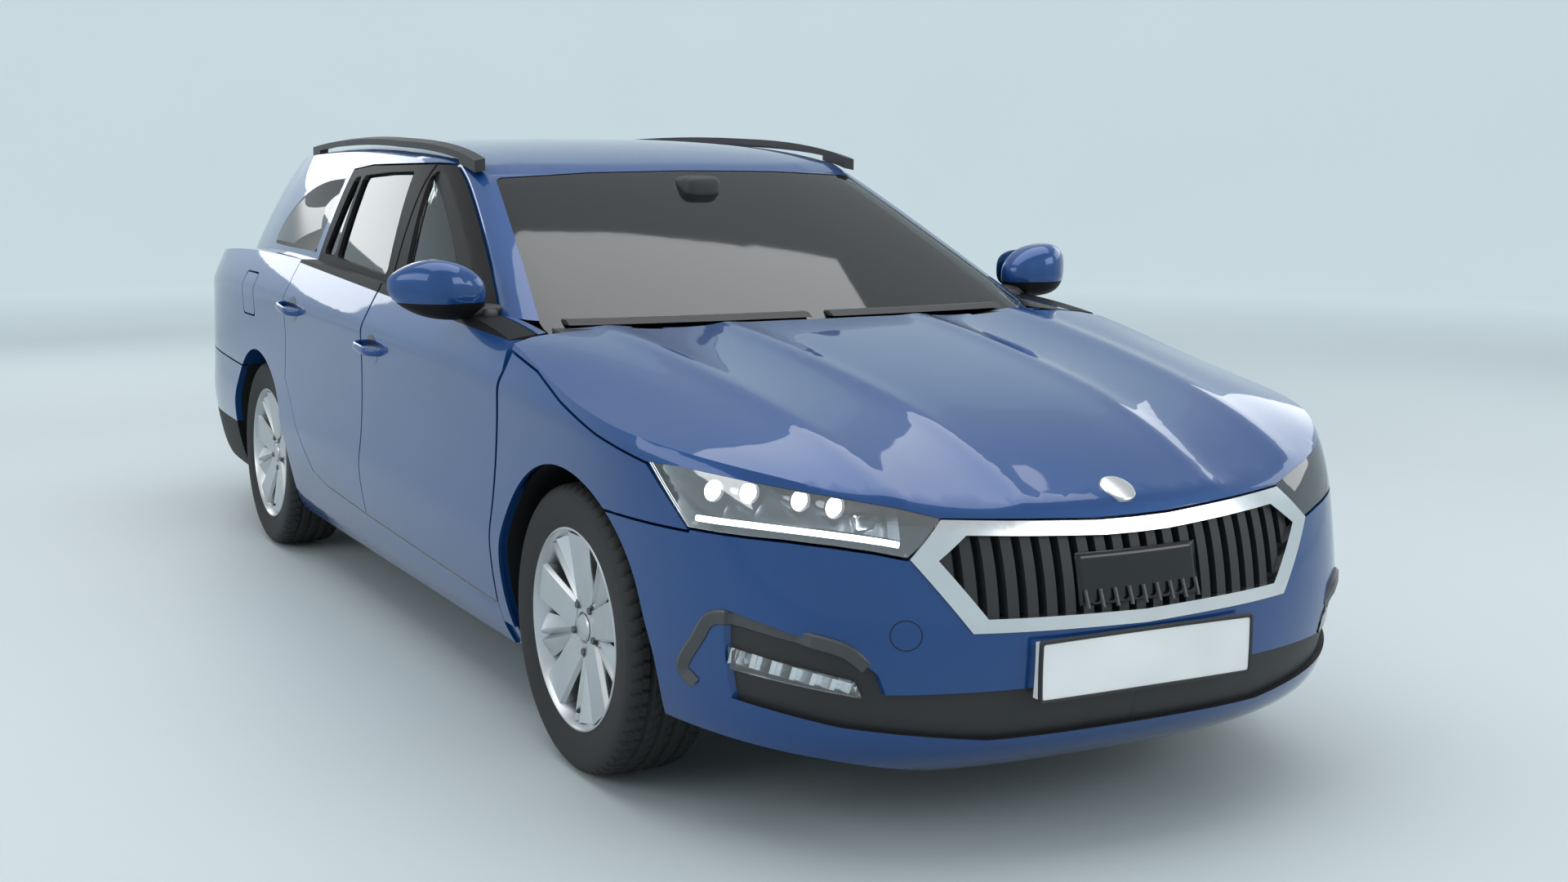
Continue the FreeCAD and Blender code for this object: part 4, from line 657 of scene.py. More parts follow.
def tyreGrid(outward):
    # profile of width and radius round the section, then blocks cut by angle and width
    look = tyreLook
    crown = np.linspace(-look["flat"], look["flat"], 33)
    crownR = look["outer"] - look["fall"] * (crown / look["flat"]) ** 2
    wallW = look["flat"] + np.array([0.010, 0.017, 0.0205, 0.0222, 0.0225, 0.0215, 0.018, 0.0135])
    wallR = look["outer"] - look["fall"] - np.array([0.004, 0.012, 0.022, 0.034, 0.046, 0.060, 0.078, 0.0935])
    width = np.concatenate([-wallW[::-1], crown, wallW])
    radius = np.concatenate([wallR[::-1], crownR, wallR])
    angle = np.linspace(0, 2 * np.pi, look["columns"], endpoint=False)
    w, a = np.meshgrid(width, angle, indexing="ij")
    r = np.broadcast_to(radius[:, None], w.shape).copy()
    cut = np.zeros_like(r)
    for groove in look["grooves"]:
        cut = np.maximum(cut, np.clip(1 - (np.abs(w - groove) - look["grooveHalf"]) / 0.0015, 0, 1))
    turn = a * look["blocks"] / (2 * np.pi)
    slant = turn + np.abs(w) * 14
    shoulder = (np.abs(w) > 0.056) & (np.abs(w) < 0.093)
    cut = np.maximum(cut, np.where(shoulder & ((slant % 1) < 0.17), 0.8, 0))
    middle = (np.abs(w) < 0.048) & (((turn + w * 30) % 1) < 0.1)
    cut = np.maximum(cut, np.where(middle, 0.55, 0))
    r = r - cut * look["groove"]
    ridge = np.where(np.abs(w) > 0.0985, 0.0012 * np.sin(r * 900), 0)
    inner = np.stack([np.full_like(angle, look["bead"])] * 2)
    innerW = np.array([[look["beadHalf"]], [-look["beadHalf"]]]) * np.ones_like(angle)
    r = np.vstack([r, inner])
    w = np.vstack([w + np.sign(w) * ridge, innerW])
    a = np.vstack([a, np.broadcast_to(angle, (2, len(angle)))])
    return np.stack([r * np.cos(a), w * outward, r * np.sin(a)], -1)


def makeTyres():
    for end, x in wheelX.items():
        for side, sign in sides.items():
            grid = tyreGrid(sign) + np.array([x, sign * wheelMid, tyreLook["outer"]])
            place = end + "_" + side
            tyre = gridPiece("tyre_" + place + "_tread", grid, "wheel_" + place, tyreRubber,
                             True, True, smooth=35)
            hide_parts("tyre_" + place)


makeTyres()
print("stage: tyres made")

# Wheels
wheelLook = {
    "rim": 0.2285, "spokes": 5, "spokeEnd": 0.214, "flat": (0.031, 0.042), "blade": (0.010, 0.027),
    "deep": 0.040, "cap": 0.031, "boltCircle": 0.056, "disc": 0.150,
    "cup": ((0.0, 0.0645), (0.0125, 0.0645), (0.0135, 0.0655), (0.0135, 0.060)),
    "bolt": ((0.0, 0.071), (0.0078, 0.071), (0.0088, 0.0695), (0.0088, 0.062)),
    "valve": ((0.0, 0.060, -0.198), (0.0, 0.084, -0.190)), "valveRadius": 0.0042,
}


def spokeGrid(angle, inner, outer, half, ridge, top, depth, rows=14):
    # section of a spoke carried out along a radius: half width, place of its ridge and height change with it
    t = np.linspace(0, 1, rows)[:, None]
    r = inner + (outer - inner) * t
    h = half[0] + (half[1] - half[0]) * t ** 1.2
    y = top[0] + (top[1] - top[0]) * t
    if ridge == 0:
        across = np.array([[-1.16, -1.0, 1.0, 1.16, 1.05, -1.05]]) * h
        fall = np.array([[0.010, 0, 0, 0.010, depth, depth]]) + 0 * t
    else:
        across = np.array([[-1.0, -0.1, 0.1, 1.0, 0.9, -0.9]]) * h
        across[:, 1:3] += ridge * t * h
        fall = np.array([[0.020, 0, 0.001, 0.018, depth, depth]]) * (0.5 + 0.5 * t)
    c, s = math.cos(angle), math.sin(angle)
    x = r * c - across * s
    z = r * s + across * c
    return np.stack([x, y - fall, z], -1)


def wheelParts():
    # barrel, hub and cap turned round the axle, then per spoke one flat arm and a pair of leaning blades
    look = wheelLook
    rim, cap, end, deep = (look[key] for key in ("rim", "cap", "spokeEnd", "deep"))
    barrel = [(rim, -0.097), (rim - 0.008, -0.097), (rim - 0.014, -0.085), (rim - 0.024, -0.05),
              (rim - 0.024, 0.045), (rim - 0.016, 0.066), (rim - 0.010, 0.086), (rim - 0.004, 0.0955),
              (rim, 0.0945), (rim + 0.002, 0.090), (rim - 0.002, 0.080), (rim - 0.004, 0.0)]
    hub = [(0.0, 0.060), (0.034, 0.060), (0.036, 0.066), (0.062, 0.064), (0.078, 0.058), (0.082, 0.035),
           (0.060, -0.02), (0.0, -0.02)]
    cap = [(0.0, 0.0725), (0.020, 0.0720), (cap - 0.003, 0.0700), (cap, 0.0665), (cap, 0.058)]
    parts = [(turnedGrid(barrel, (0, 0, 0), "y", 96), True, True, False)]
    parts += [shell(turnedGrid(outline, (0, 0, 0), "y", count)) for outline, count in ((hub, 60), (cap, 48))]
    step = 2 * np.pi / look["spokes"]
    for k in range(look["spokes"]):
        angle = math.pi / 2 + k * step
        parts.append(rod(spokeGrid(angle, 0.045, end, look["flat"], 0, (0.066, 0.086), deep)))
        for turn, ridge in ((0.40, 0.6), (0.60, -0.6)):
            blade = spokeGrid(angle + step * turn, 0.055, end, look["blade"], ridge, (0.060, 0.083), deep)
            parts.append(rod(blade))
    return parts


def placed(parts, flip, place):
    return [(grid * flip + place, *flags) for grid, *flags in parts]


def makeWheels():
    look = wheelLook
    step = 2 * np.pi / look["spokes"]
    disc = [(0.06, -0.045), (0.145, -0.045), (look["disc"], -0.047), (look["disc"], -0.068),
            (0.145, -0.070), (0.06, -0.070)]
    dark = []
    for k in range(look["spokes"]):
        angle = math.pi / 2 + (k + 0.5) * step
        centre = np.array([math.cos(angle), 0, math.sin(angle)]) * look["boltCircle"]
        for key, count in (("cup", 24), ("bolt", 6)):
            dark.append(shell(turnedGrid(look[key], centre, "y", count)))
    for end, x in wheelX.items():
        for side, sign in sides.items():
            place = np.array([x, sign * wheelMid, tyreLook["outer"]])
            flip = np.array([1.0, sign, 1.0])
            corner = end + "_" + side
            body = "wheel_" + corner
            face = joinedPiece("rim_" + corner + "_alloy", placed(wheelParts(), flip, place), body,
                               alloySilver, 28)
            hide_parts("rim_" + corner)
            joinedPiece("wheel_bolts_" + corner, placed(dark, flip, place), body, boltGrey, 25)
            grid = turnedGrid(disc, (0, 0, 0), "y", 72) * flip + place
            gridPiece("brake_disc_" + corner, grid, body, steelGrey, True, True, smooth=30)
            valve = tubeGrid(look["valve"], look["valveRadius"], 10) * flip + place
            rodPiece("valve_" + corner, valve, body, blackPlastic)


makeWheels()
print("stage: wheels made")

# Headlamps and fog lamps
lampLook = {
    "modules": ((1.979, 0.792, 0.716), (2.030, 0.740, 0.716), (2.105, 0.668, 0.708), (2.150, 0.617, 0.698)),
    "strip": ((1.948, 0.806, 0.660), (1.990, 0.788, 0.6605), (2.035, 0.763, 0.661), (2.111, 0.698, 0.6575),
              (2.166, 0.625, 0.650), (2.203, 0.560, 0.641), (2.222, 0.513, 0.632)),
    "top": ((1.885, 0.780, 0.748), (1.960, 0.730, 0.739), (2.040, 0.670, 0.728), (2.110, 0.600, 0.716),
            (2.160, 0.540, 0.706), (2.185, 0.500, 0.695)),
    "low": ((1.935, 0.815, 0.655), (2.010, 0.775, 0.656), (2.085, 0.710, 0.655), (2.150, 0.630, 0.648),
            (2.190, 0.560, 0.638), (2.215, 0.510, 0.628)),
    "inset": np.array([-0.040, -0.030, 0.0]), "radius": 0.021,
    "stripShift": np.array([-0.010, -0.006, 0.002]), "stripRadius": 0.0062, "folds": 6, "fold": 0.016,
    "indicator": np.array([2.135, 0.535, 0.668]), "indicatorSize": (0.03, 0.055, 0.035),
}
fogLook = {"start": (2.052, 0.795, 0.404), "run": (0.160, 0.195, 0.046), "bow": 0.02, "zig": (0.006, -0.002),
           "rows": ((0.016, 0.0), (-0.016, 0.012)), "inside": 0.012}
cornerWay = np.array([0.78, 0.62, 0.0])
fogTree = skinTree("front_lenses")


def moduleParts(centre):
    # short dark barrel and the bright lens in its mouth, both turned round the driving direction
    r = lampLook["radius"]
    barrel = [(r + 0.003, -0.035), (r + 0.004, 0.0), (r + 0.001, 0.002), (r, -0.006)]
    lens = [(0.0, 0.001), (r * 0.6, -0.001), (r * 0.9, -0.004), (r, -0.008)]
    return [shell(turnedGrid(outline, centre, "x", 32)) for outline in (barrel, lens)]


def makeLamps():
    look = lampLook
    for side, sign in sides.items():
        flip = np.array([1.0, sign, 1.0])
        centres = [(np.array(place) + look["inset"] * 0.8) * flip for place in look["modules"]]
        barrels, lenses = zip(*map(moduleParts, centres))
        joinedPiece("lamp_barrels_" + side, barrels, "body", glossBlack)
        joinedPiece("lamp_lights_" + side, lenses, "body", lampWhite)
        strip = bezierPath(look["strip"], 40) * flip + look["stripShift"] * flip
        strip = tubeGrid(strip, look["stripRadius"], 10)
        rodPiece("lamp_strip_" + side, strip, "body", lampWhite)
        top = bezierPath(look["top"], 36) + look["inset"]
        low = bezierPath(look["low"], 36) + look["inset"]
        share = np.linspace(0.08, 0.92, 9)[:, None, None]
        sheet = top[None] * share + low[None] * (1 - share)
        folds = np.abs(((np.linspace(0, look["folds"], 36) % 1) - 0.5))[None, :, None] * look["fold"]
        sheet = (sheet + np.array([1.0, 0.4, 0]) * folds) * flip
        gridPiece("lamp_reflector_" + side, sheet, "body", lampGrey, smooth=20)
        dim = superBox(look["indicator"] * flip, look["indicatorSize"], 8)
        shellPiece("lamp_indicator_" + side, dim, "body", lampPale, 30)
        gridPiece("fog_reflector_" + side, fogFacets() * flip, "body", lampPale, smooth=10)


def fogFacets():
    # rows over and under the fog lamp's middle line, just inside the lens, with every second pair proud
    look = fogLook
    (x, y, z), (dx, dy, dz) = look["start"], look["run"]
    t = np.linspace(0, 1, 25)
    zig = np.where((np.arange(25) % 4) < 2, *look["zig"])
    rows = [np.stack([x + dx * t - look["bow"] * t ** 2 - back + zig, y - dy * t,
                      z - dz * t + lift * (1 - 0.35 * t)], -1) for lift, back in look["rows"]]
    found = dropped(fogTree, np.array(rows) + cornerWay * 0.3, -cornerWay, -look["inside"])
    found[..., 0] += zig
    return found


makeLamps()
print("stage: lamps made")

# Front of the car
noseTree = skinTree("front_bumper", "bonnet", "fender_left", "fender_right")
fogSkin = skinTree("front_bumper", "front_lenses", "grilles")
grilleTree = skinTree("grilles")
rayStart = {"ahead": 2.6, "behind": -2.7, "aside": 1.3}
grilleLook = {"panel": (0.150, 0.500, 0.602), "bow": 0.008, "proud": 0.005, "thick": 0.010, "fins": 9,
              "fin": 0.030, "finRadius": 0.0042}


def onNose(points):
    # points of y and z put on the front of the car, seen from straight ahead
    points = np.asarray(points, float)
    start = np.stack([np.full(len(points), rayStart["ahead"]), points[:, 0], points[:, 1]], -1)
    return dropped(noseTree, start, (-1, 0, 0))


def ribbonGrid(path, across, width, thick, face):
    # flat strip along a path: its section is a low trapezium, across the path and proud of the face
    path = np.asarray(path, float)
    across = np.broadcast_to(np.asarray(across, float), path.shape)
    face = np.broadcast_to(np.asarray(face, float), path.shape)
    section = ((-0.5, 0.0), (-0.38, 1.0), (0.38, 1.0), (0.5, 0.0), (0.5, -1.5), (-0.5, -1.5))
    return np.stack([path + across * width * u + face * thick * v for u, v in section], 1)


def edgeAcross(path, face):
    # direction in the surface at right angles to the path
    along = np.gradient(path, axis=0)
    cross = np.cross(along, np.broadcast_to(face, path.shape))
    return cross / np.linalg.norm(cross, axis=1, keepdims=True)


def makeGrille():
    # bowed panel just proud of the slats, with a row of short fins at its foot
    look = grilleLook
    half, low, high = look["panel"]
    y, z = np.meshgrid(np.linspace(-half, half, 25), np.linspace(low, high, 9), indexing="ij")
    panel = dropped(grilleTree, np.stack([np.full(y.shape, rayStart["ahead"]), y, z], -1), (-1, 0, 0))
    rows = panel[..., 0].max(axis=0)
    slope, base = np.polyfit(z[0], rows, 1)
    base += (rows - slope * z[0] - base).max() + look["proud"]
    panel[..., 0] = slope * z + base - look["bow"] * (y / half) ** 2
    front = slope * low + base
    piece = gridPiece("radar_panel", panel, "body", glossBlack, smooth=30)
    wall = piece.modifiers.new("wall", "SOLIDIFY")
    wall.thickness = look["thick"]
    wall.offset = -1
    baked(piece)
    fins = []
    for place in np.linspace(-half * 0.92, half * 0.92, look["fins"]):
        bend = look["bow"] * (place / half) ** 2
        foot = (front + 0.010 - bend, place, low - 0.004)
        head = (front + slope * look["fin"] + 0.003 - bend, place, low + look["fin"])
        fins.append(rod(tubeGrid([foot, head], look["finRadius"], 6)))
    joinedPiece("radar_fins", fins, "body", satinDark, 25)


plateLook = {"corner": 0.008, "steps": ((0.0, 0.0008), (0.002, 0.003), (0.006, 0.003), (0.008, -0.004))}


def makePlates():
    # thin black frame round each plate: a rounded rectangle in four steps of growth and depth
    corner = plateLook["corner"]
    angle = np.linspace(0, 2 * np.pi, 49)[:-1]
    for name, way in (("front", 1), ("rear", -1)):
        low, high = (np.array(end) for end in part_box("plate_" + name))
        middle = (low + high) / 2
        x = high[0] if way > 0 else low[0]
        w, h = (high[1] - low[1]) / 2, (high[2] - low[2]) / 2
        y = np.clip(np.cos(angle) * 2, -1, 1) * (w - corner) + np.cos(angle) * corner
        z = np.clip(np.sin(angle) * 2, -1, 1) * (h - corner) + np.sin(angle) * corner
        rings = [np.stack([np.full_like(y, x + out * way), middle[1] + y * (1 + grow / w),
                           middle[2] + z * (1 + grow / h)], -1) for grow, out in plateLook["steps"]]
        shellPiece("plate_frame_" + name, np.array(rings), nodes["plate_" + name]["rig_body"], blackPlastic,
                   30)


noseLook = {
    "fog": ((0.600, 0.404), (0.640, 0.440), (0.720, 0.462), (0.790, 0.478), (0.818, 0.470), (0.834, 0.430),
            (0.856, 0.362), (0.840, 0.330)),
    "fogWidth": 0.030, "fogThick": 0.006, "fogLift": 0.003, "eye": (0.517, 0.467, 0.029), "seam": 0.0011,
    "disc": ((0.0, 0.0042), (0.030, 0.0038), (0.0345, 0.0030), (0.037, 0.0005), (0.037, -0.006)),
    "discHeight": 0.7085, "discSpan": 0.0165, "discLift": 0.002,
}
bladeLook = {"half": 0.60, "front": 2.292, "sweep": 0.125, "height": 0.302, "rise": 0.02, "radius": 0.016,
             "squash": 0.42}


def makeBlade():
    # blade across the lower intake, bent back towards its ends
    look = bladeLook
    y = np.linspace(-look["half"], look["half"], 41)
    bow = np.abs(y) / look["half"]
    x = look["front"] - look["sweep"] * bow ** 2.2
    z = look["height"] + look["rise"] * bow ** 2
    blade = tubeGrid(np.stack([x, y, z], -1), look["radius"], 12, look["squash"])
    rodPiece("intake_blade", blade, "body", satinDark)


def makeFogFrames():
    # flat strip round each fog lamp, its outline dropped on the corner of the bumper from outside
    look = noseLook
    outline = bezierPath([(y, z, 0) for y, z in look["fog"]], 60)
    x = 2.255 - 0.32 * np.clip((outline[:, 0] - 0.58) / 0.30, 0, 1) ** 1.35
    path = np.stack([x, outline[:, 0], outline[:, 1]], -1)
    path = dropped(fogSkin, path + cornerWay * 0.3, -cornerWay, look["fogLift"])
    grid = ribbonGrid(path, edgeAcross(path, cornerWay), look["fogWidth"], look["fogThick"], cornerWay)
    for side, sign in sides.items():
        strip = grid * np.array([1.0, sign, 1.0])
        rodPiece("fog_frame_" + side, strip, "body", greyTrim, 25)


def makeNose():
    # round seam of the towing eye's cover, and the plain disc on the bonnet's nose
    look = noseLook
    y, z, radius = look["eye"]
    angle = np.linspace(0, 2 * np.pi, 33)[:-1]
    ring = onNose([(radius * math.cos(a) - y, z + radius * math.sin(a)) for a in angle])
    seam = tubeGrid(np.vstack([ring, ring[:1]]), look["seam"], 6)
    shellPiece("towing_eye_seam", seam, "body", seamBlack)
    low, centre, high = onNose([(0.0, look["discHeight"] + look["discSpan"] * way) for way in (-1, 0, 1)])
    disc = turnedGrid(look["disc"], (0, 0, 0), "x", 48)
    lean = np.array(Matrix.Rotation(-math.atan2(low[0] - high[0], high[2] - low[2]), 3, "Y"))
    disc = disc @ lean.T + centre + lean @ np.array([look["discLift"], 0.0, 0.0])
    shellPiece("bonnet_disc", disc, "bonnet", satinChrome, 30)


makeGrille()
makePlates()
makeBlade()
makeFogFrames()
makeNose()
print("stage: front made")

# Door handles, mirrors and aerial
handleLook = {"front": (0.146, 0.836, 0.014), "rear": (-0.705, 0.885, 0.020), "half": 0.086, "stand": 0.040,
              "sunk": 0.006, "radius": 0.0125, "squash": 0.55, "cup": (0.016, 0.050, 0.042),
              "cupLift": 0.0006, "rings": (0.02, 0.35, 0.65, 0.85, 1.0)}
doorTree = {side: skinTree("front_door_" + side, "rear_door_" + side) for side in sides}


def cupShadeFinish(level):
    # recess behind a handle, in painted shade: dark under its upper edge, blue at the foot
    made = Finish("handleCupShade", Metallic=0.3, Roughness=0.35, Coat_Weight=0.6)
    # painted shade: the colour goes from blue at the cup's foot to near black under its upper edge
    shade = (made.z - (level - 0.035)).maths("MULTIPLY", made.z - (level - 0.035), 16.0, True)
    made.feed("Base Color", shade.colours((0.028, 0.085, 0.30, 1), (0.003, 0.006, 0.02, 1)))
    made.feed("Normal", made.place.noise(160).bump(0.02, 0.001))
    return made.material


def makeHandles():
    # a bar that stands off the door between its two ends, over a round cup laid on the skin and coloured with
    # painted shade
    look = handleLook
    t = np.linspace(-1, 1, 33)
    angle = np.linspace(0, 2 * np.pi, 40, endpoint=False)
    forward, wide, high = look["cup"]
    for end in ("front", "rear"):
        x, z, rise = look[end]
        # the cup's colour is painted shade of the recess, dark under its upper edge
        cup = cupShadeFinish(z)
        for side, sign in sides.items():
            body = end + "_door_" + side
            outside = sign * rayStart["aside"]
            along = np.stack([x + t * look["half"], np.full(33, outside), z - t * rise * 0.5], -1)
            skin = dropped(doorTree[side], along, (0, -sign, 0))
            lift = look["stand"] * np.clip(1 - np.abs(t) ** 5, 0, 1) - look["sunk"]
            path = skin + np.array([0, sign, 0]) * lift[:, None]
            radius = look["radius"] * (0.8 + 0.2 * np.cos(t * np.pi / 2))
            grid = tubeGrid(path, radius, 20, look["squash"], up=(0, sign, 0))
            rodPiece("handle_%s_%s" % (end, side), grid, body, paint, 50)
            rings = [np.stack([x + forward + wide * share * np.cos(angle), np.full(40, outside),
                               z - 0.002 + high * share * np.sin(angle)], -1) for share in look["rings"]]
            rings = [dropped(doorTree[side], ring, (0, -sign, 0), look["cupLift"]) for ring in rings]
            shellPiece("handle_cup_%s_%s" % (end, side), np.array(rings), body, cup, 60)


mirrorLook = {"middle": np.array([0.780, 0.925, 1.045]), "size": (0.150, 0.235, 0.150),
              "glass": (0.096, 0.056), "arm": np.array([0.0, -0.115, -0.058]),
              "armSize": (0.085, 0.130, 0.034), "foot": (0.785, 0.806, 0.975),
              "footSize": (0.120, 0.050, 0.046)}


def mirrorCap():
    # rounded block that narrows outwards and sweeps back, flatter on its glass side
    grid = superBox((0, 0, 0), (1, 1, 1), 2.7, 28, 44)
    u, v, w = grid[..., 0] * 2, grid[..., 1] * 2, grid[..., 2] * 2
    length, width, height = mirrorLook["size"]
    outer = np.clip(v, 0, 1)
    taper = 1 - 0.30 * outer ** 1.5 - 0.12 * np.clip(-v, 0, 1)
    x = u * 0.5 * length * taper - 0.055 * np.clip(v, -0.4, 1) ** 2 - 0.01 * v
    x = np.where(u < 0, x * 0.72, x)
    crown = np.where(w > 0, 1 - 0.25 * v ** 2, 1.0)
    z = w * 0.5 * height * (1 - 0.22 * outer ** 2) * crown + 0.012 * v
    return np.stack([x, v * 0.5 * width, z], -1) + mirrorLook["middle"]


def mirrorFace():
    # glass: rings of a rounded rectangle that lean back with the cap
    angle = np.linspace(0, 2 * np.pi, 44, endpoint=False)
    c, s = np.cos(angle), np.sin(angle)
    wide, high = mirrorLook["glass"]
    rings = []
    for share, back in ((0.01, 0.0), (0.6, 0.0), (0.97, 0.0), (1.0, 0.003)):
        y = np.sign(c) * np.abs(c) ** 0.7 * wide * share
        z = np.sign(s) * np.abs(s) ** 0.7 * high * share
        rings.append(np.stack([np.full(44, back - 0.0585) - 0.18 * np.clip(y, 0, 1), y - 0.008, z], -1))
    return np.array(rings) + mirrorLook["middle"]


def makeMirrors():
    look = mirrorLook
    arm = superBox(look["middle"] + look["arm"], look["armSize"], 3.2, 16, 28)
    foot = superBox(look["foot"], look["footSize"], 3.0, 16, 28)
    for side, sign in sides.items():
        body = "front_door_" + side
        flip = np.array([1.0, sign, 1.0])
        cap = shellPiece("mirror_cap_" + side, mirrorCap() * flip, body, mirrorPaint, 60)
        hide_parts("mirror_" + side)
        parts = [shell(arm * flip), shell(foot * flip)]
        joinedPiece("mirror_arm_" + side, parts, body, blackPlastic, 60)
        shellPiece("mirror_glass_" + side, mirrorFace() * flip, body, mirrorSilver)


aerialLook = (
    (((-1.83, 0, 1.372), (-1.845, 0, 1.392), (-1.86, 0, 1.400)), (0.020, 0.015, 0.008), 16),
    (((-1.855, 0, 1.395), (-1.93, 0, 1.432)), (0.0035, 0.0022), 10),
)


def makeAerial():
    # foot and rod, each a tube of several radii
    parts = [rod(tubeGrid(*tube)) for tube in aerialLook]
    joinedPiece("aerial", parts, "body", blackPlastic, 50)


makeHandles()
makeMirrors()
makeAerial()
print("stage: handles and mirrors made")

# Rear quarter panes
quarterLook = {
    "outline": ((-0.838, 1.062), (-0.802, 1.304), (-1.000, 1.292), (-1.180, 1.264), (-1.330, 1.217),
                (-1.440, 1.152), (-1.498, 1.088), (-1.490, 1.062)),
    "layers": (("quarter_frame_", 0.0, 0.0006, blackPlastic), ("quarter_pane_", 0.012, 0.0014, glossBlack)),
}


def quarterGrid(skin, sign, shrink, lift):
    # dark pane between its foot and its arched top, on a cubic surface fitted to the flank
    x, z = np.array(quarterLook["outline"]).T
    t = np.linspace(0, 1, 41)[:, None]
    u = np.linspace(0, 1, 13)[None, :]
    foot = x[0] - shrink + (x[-1] - x[0] + 2 * shrink) * t
    low = np.full_like(foot, z[0] + shrink)
    top = [(x[1] - shrink, z[1] - shrink, 0)] + [(a, b - shrink, 0) for a, b in zip(x[2:-1], z[2:-1])]
    line = bezierPath(top, 41)
    a = foot + (line[:, :1] - foot) * u
    b = low + (line[:, 1:2] - low) * u
    start = np.stack([a, np.full_like(a, sign * rayStart["aside"]), b], -1)
    found = dropped(skin, start, (0, -sign, 0))
    deep = np.abs(found[..., 1])
    terms = np.stack([a ** i * b ** j for i in range(4) for j in range(4 - i)], -1)
    good = deep > 0.5
    for _ in range(4):
        weights = np.linalg.lstsq(terms[good], deep[good], rcond=None)[0]
        rest = deep - terms @ weights
        good = (deep > 0.5) & (rest > -0.002)
    face = terms @ weights + np.maximum(rest[good].max(), 0) + lift
    return np.stack([a, sign * face, b], -1)


def makeQuarters():
    for side, sign in sides.items():
        skin = skinTree("side_frame_" + side)
        for name, shrink, lift, finish in quarterLook["layers"]:
            grid = quarterGrid(skin, sign, shrink, lift)
            gridPiece(name + side, grid if sign > 0 else grid[::-1], "body", finish, smooth=60)


makeQuarters()

# Rear of the car
tailGlass = skinTree("tailgate", "tailgate_glass")
rearTree = skinTree("rear_bumper", "tailgate", "tail_lamps_inner", "tail_lamps_outer", "side_frame_left",
                    "side_frame_right")


def onTail(points, lift):
    # points of y and z put on the back of the car, seen from straight behind
    points = np.asarray(points, float)
    start = np.stack([np.full(len(points), rayStart["behind"]), points[:, 0], points[:, 1]], -1)
    return dropped(rearTree, start, (1, 0, 0), lift)


tailLook = {
    "light": ((0.50, 0.905), (0.70, 0.905), (0.80, 0.890), (0.835, 0.840), (0.815, 0.800), (0.70, 0.800)),
    "lightRadius": 0.0055, "lightLift": 0.0015, "reflector": (0.60, 0.74, 0.43), "reflectorLift": 0.002,
    "grip": (0.36, 0.800), "gripLift": 0.004, "barRadius": 0.014,
    "wiper": ((0.0, 1.0), (-0.14, 1.038), (-0.33, 1.075)), "wiperLift": (0.020, 0.016, 0.007),
    "wiperRadius": (0.012, 0.009, 0.006),
    "hub": ((0.0, -0.026), (0.018, -0.026), (0.024, -0.018), (0.024, 0.010)),
}


def makeTail():
    # light lines, reflectors, the tailgate's grip and the wiper, each a tube along a line on the back
    look = tailLook
    line = bezierPath([(y, z, 0) for y, z in look["light"]], 40)
    start, end, height = look["reflector"]
    for side, sign in sides.items():
        path = onTail([(sign * y, z) for y, z in line[:, :2]], look["lightLift"])
        light = tubeGrid(path, look["lightRadius"], 8)
        rodPiece("tail_light_lines_" + side, light, "body", redGlow)
        path = onTail([(sign * y, height) for y in np.linspace(start, end, 9)], look["reflectorLift"])
        reflector = tubeGrid(path, look["barRadius"], 12, 0.35)
        rodPiece("rear_reflector_" + side, reflector, "body", redLens)
    half, height = look["grip"]
    path = onTail([(y, height) for y in np.linspace(-half, half, 41)], look["gripLift"])
    grip = tubeGrid(path, look["barRadius"], 10, 0.4)
    rodPiece("tailgate_grip", grip, "tailgate", blackPlastic)
    spots = dropped(tailGlass, [(rayStart["behind"], y, z) for y, z in look["wiper"]], (1, 0, 0))
    hub = turnedGrid(look["hub"], spots[0], "x", 32)
    line = [place - np.array([lift, 0.0, 0.0]) for place, lift in zip(spots, look["wiperLift"])]
    parts = [rod(hub), rod(tubeGrid(line, look["wiperRadius"], 12))]
    joinedPiece("rear_wiper", parts, "tailgate", blackPlastic, 45)


# Cabin: seats, wheel, dash
seatLook = {
    "front": {"x": 0.400, "length": 0.520, "width": 0.505, "y": 0.360, "heads": (0.0,),
              "stands": "front_seats"},
    "rear": {"x": -0.305, "length": 0.470, "width": 1.160, "y": 0.0, "heads": (-0.38, 0.0, 0.38),
             "stands": "rear_bench"},
}
seatSize = {"low": 0.415, "back": 0.600, "tilt": 22, "thick": 0.160, "backThick": 0.130, "pressure": 4,
            "head": (0.090, 0.250, 0.170), "stalk": 0.006, "stalkHalf": 0.045}


def coordinates(piece):
    co = np.empty(len(piece.data.vertices) * 3)
    piece.data.vertices.foreach_get("co", co)
    return co.reshape(-1, 3)


def blownUp(piece, swell):
    # cloth under pressure for a dozen frames, each point held within the swell of its first place
    before = coordinates(piece)
    cloth = piece.modifiers.new("cloth", "CLOTH")
    cloth.settings.use_pressure = True
    cloth.settings.uniform_pressure_force = seatSize["pressure"]
    cloth.settings.effector_weights.gravity = 0
    for number in range(1, 13):
        bpy.context.scene.frame_set(number)
    baked(piece)
    bpy.context.scene.frame_set(1)
    move = coordinates(piece) - before
    far = np.linalg.norm(move, axis=1, keepdims=True)
    move *= np.minimum(1, swell / np.maximum(far, 1e-9))
    piece.data.vertices.foreach_set("co", (before + move).ravel())


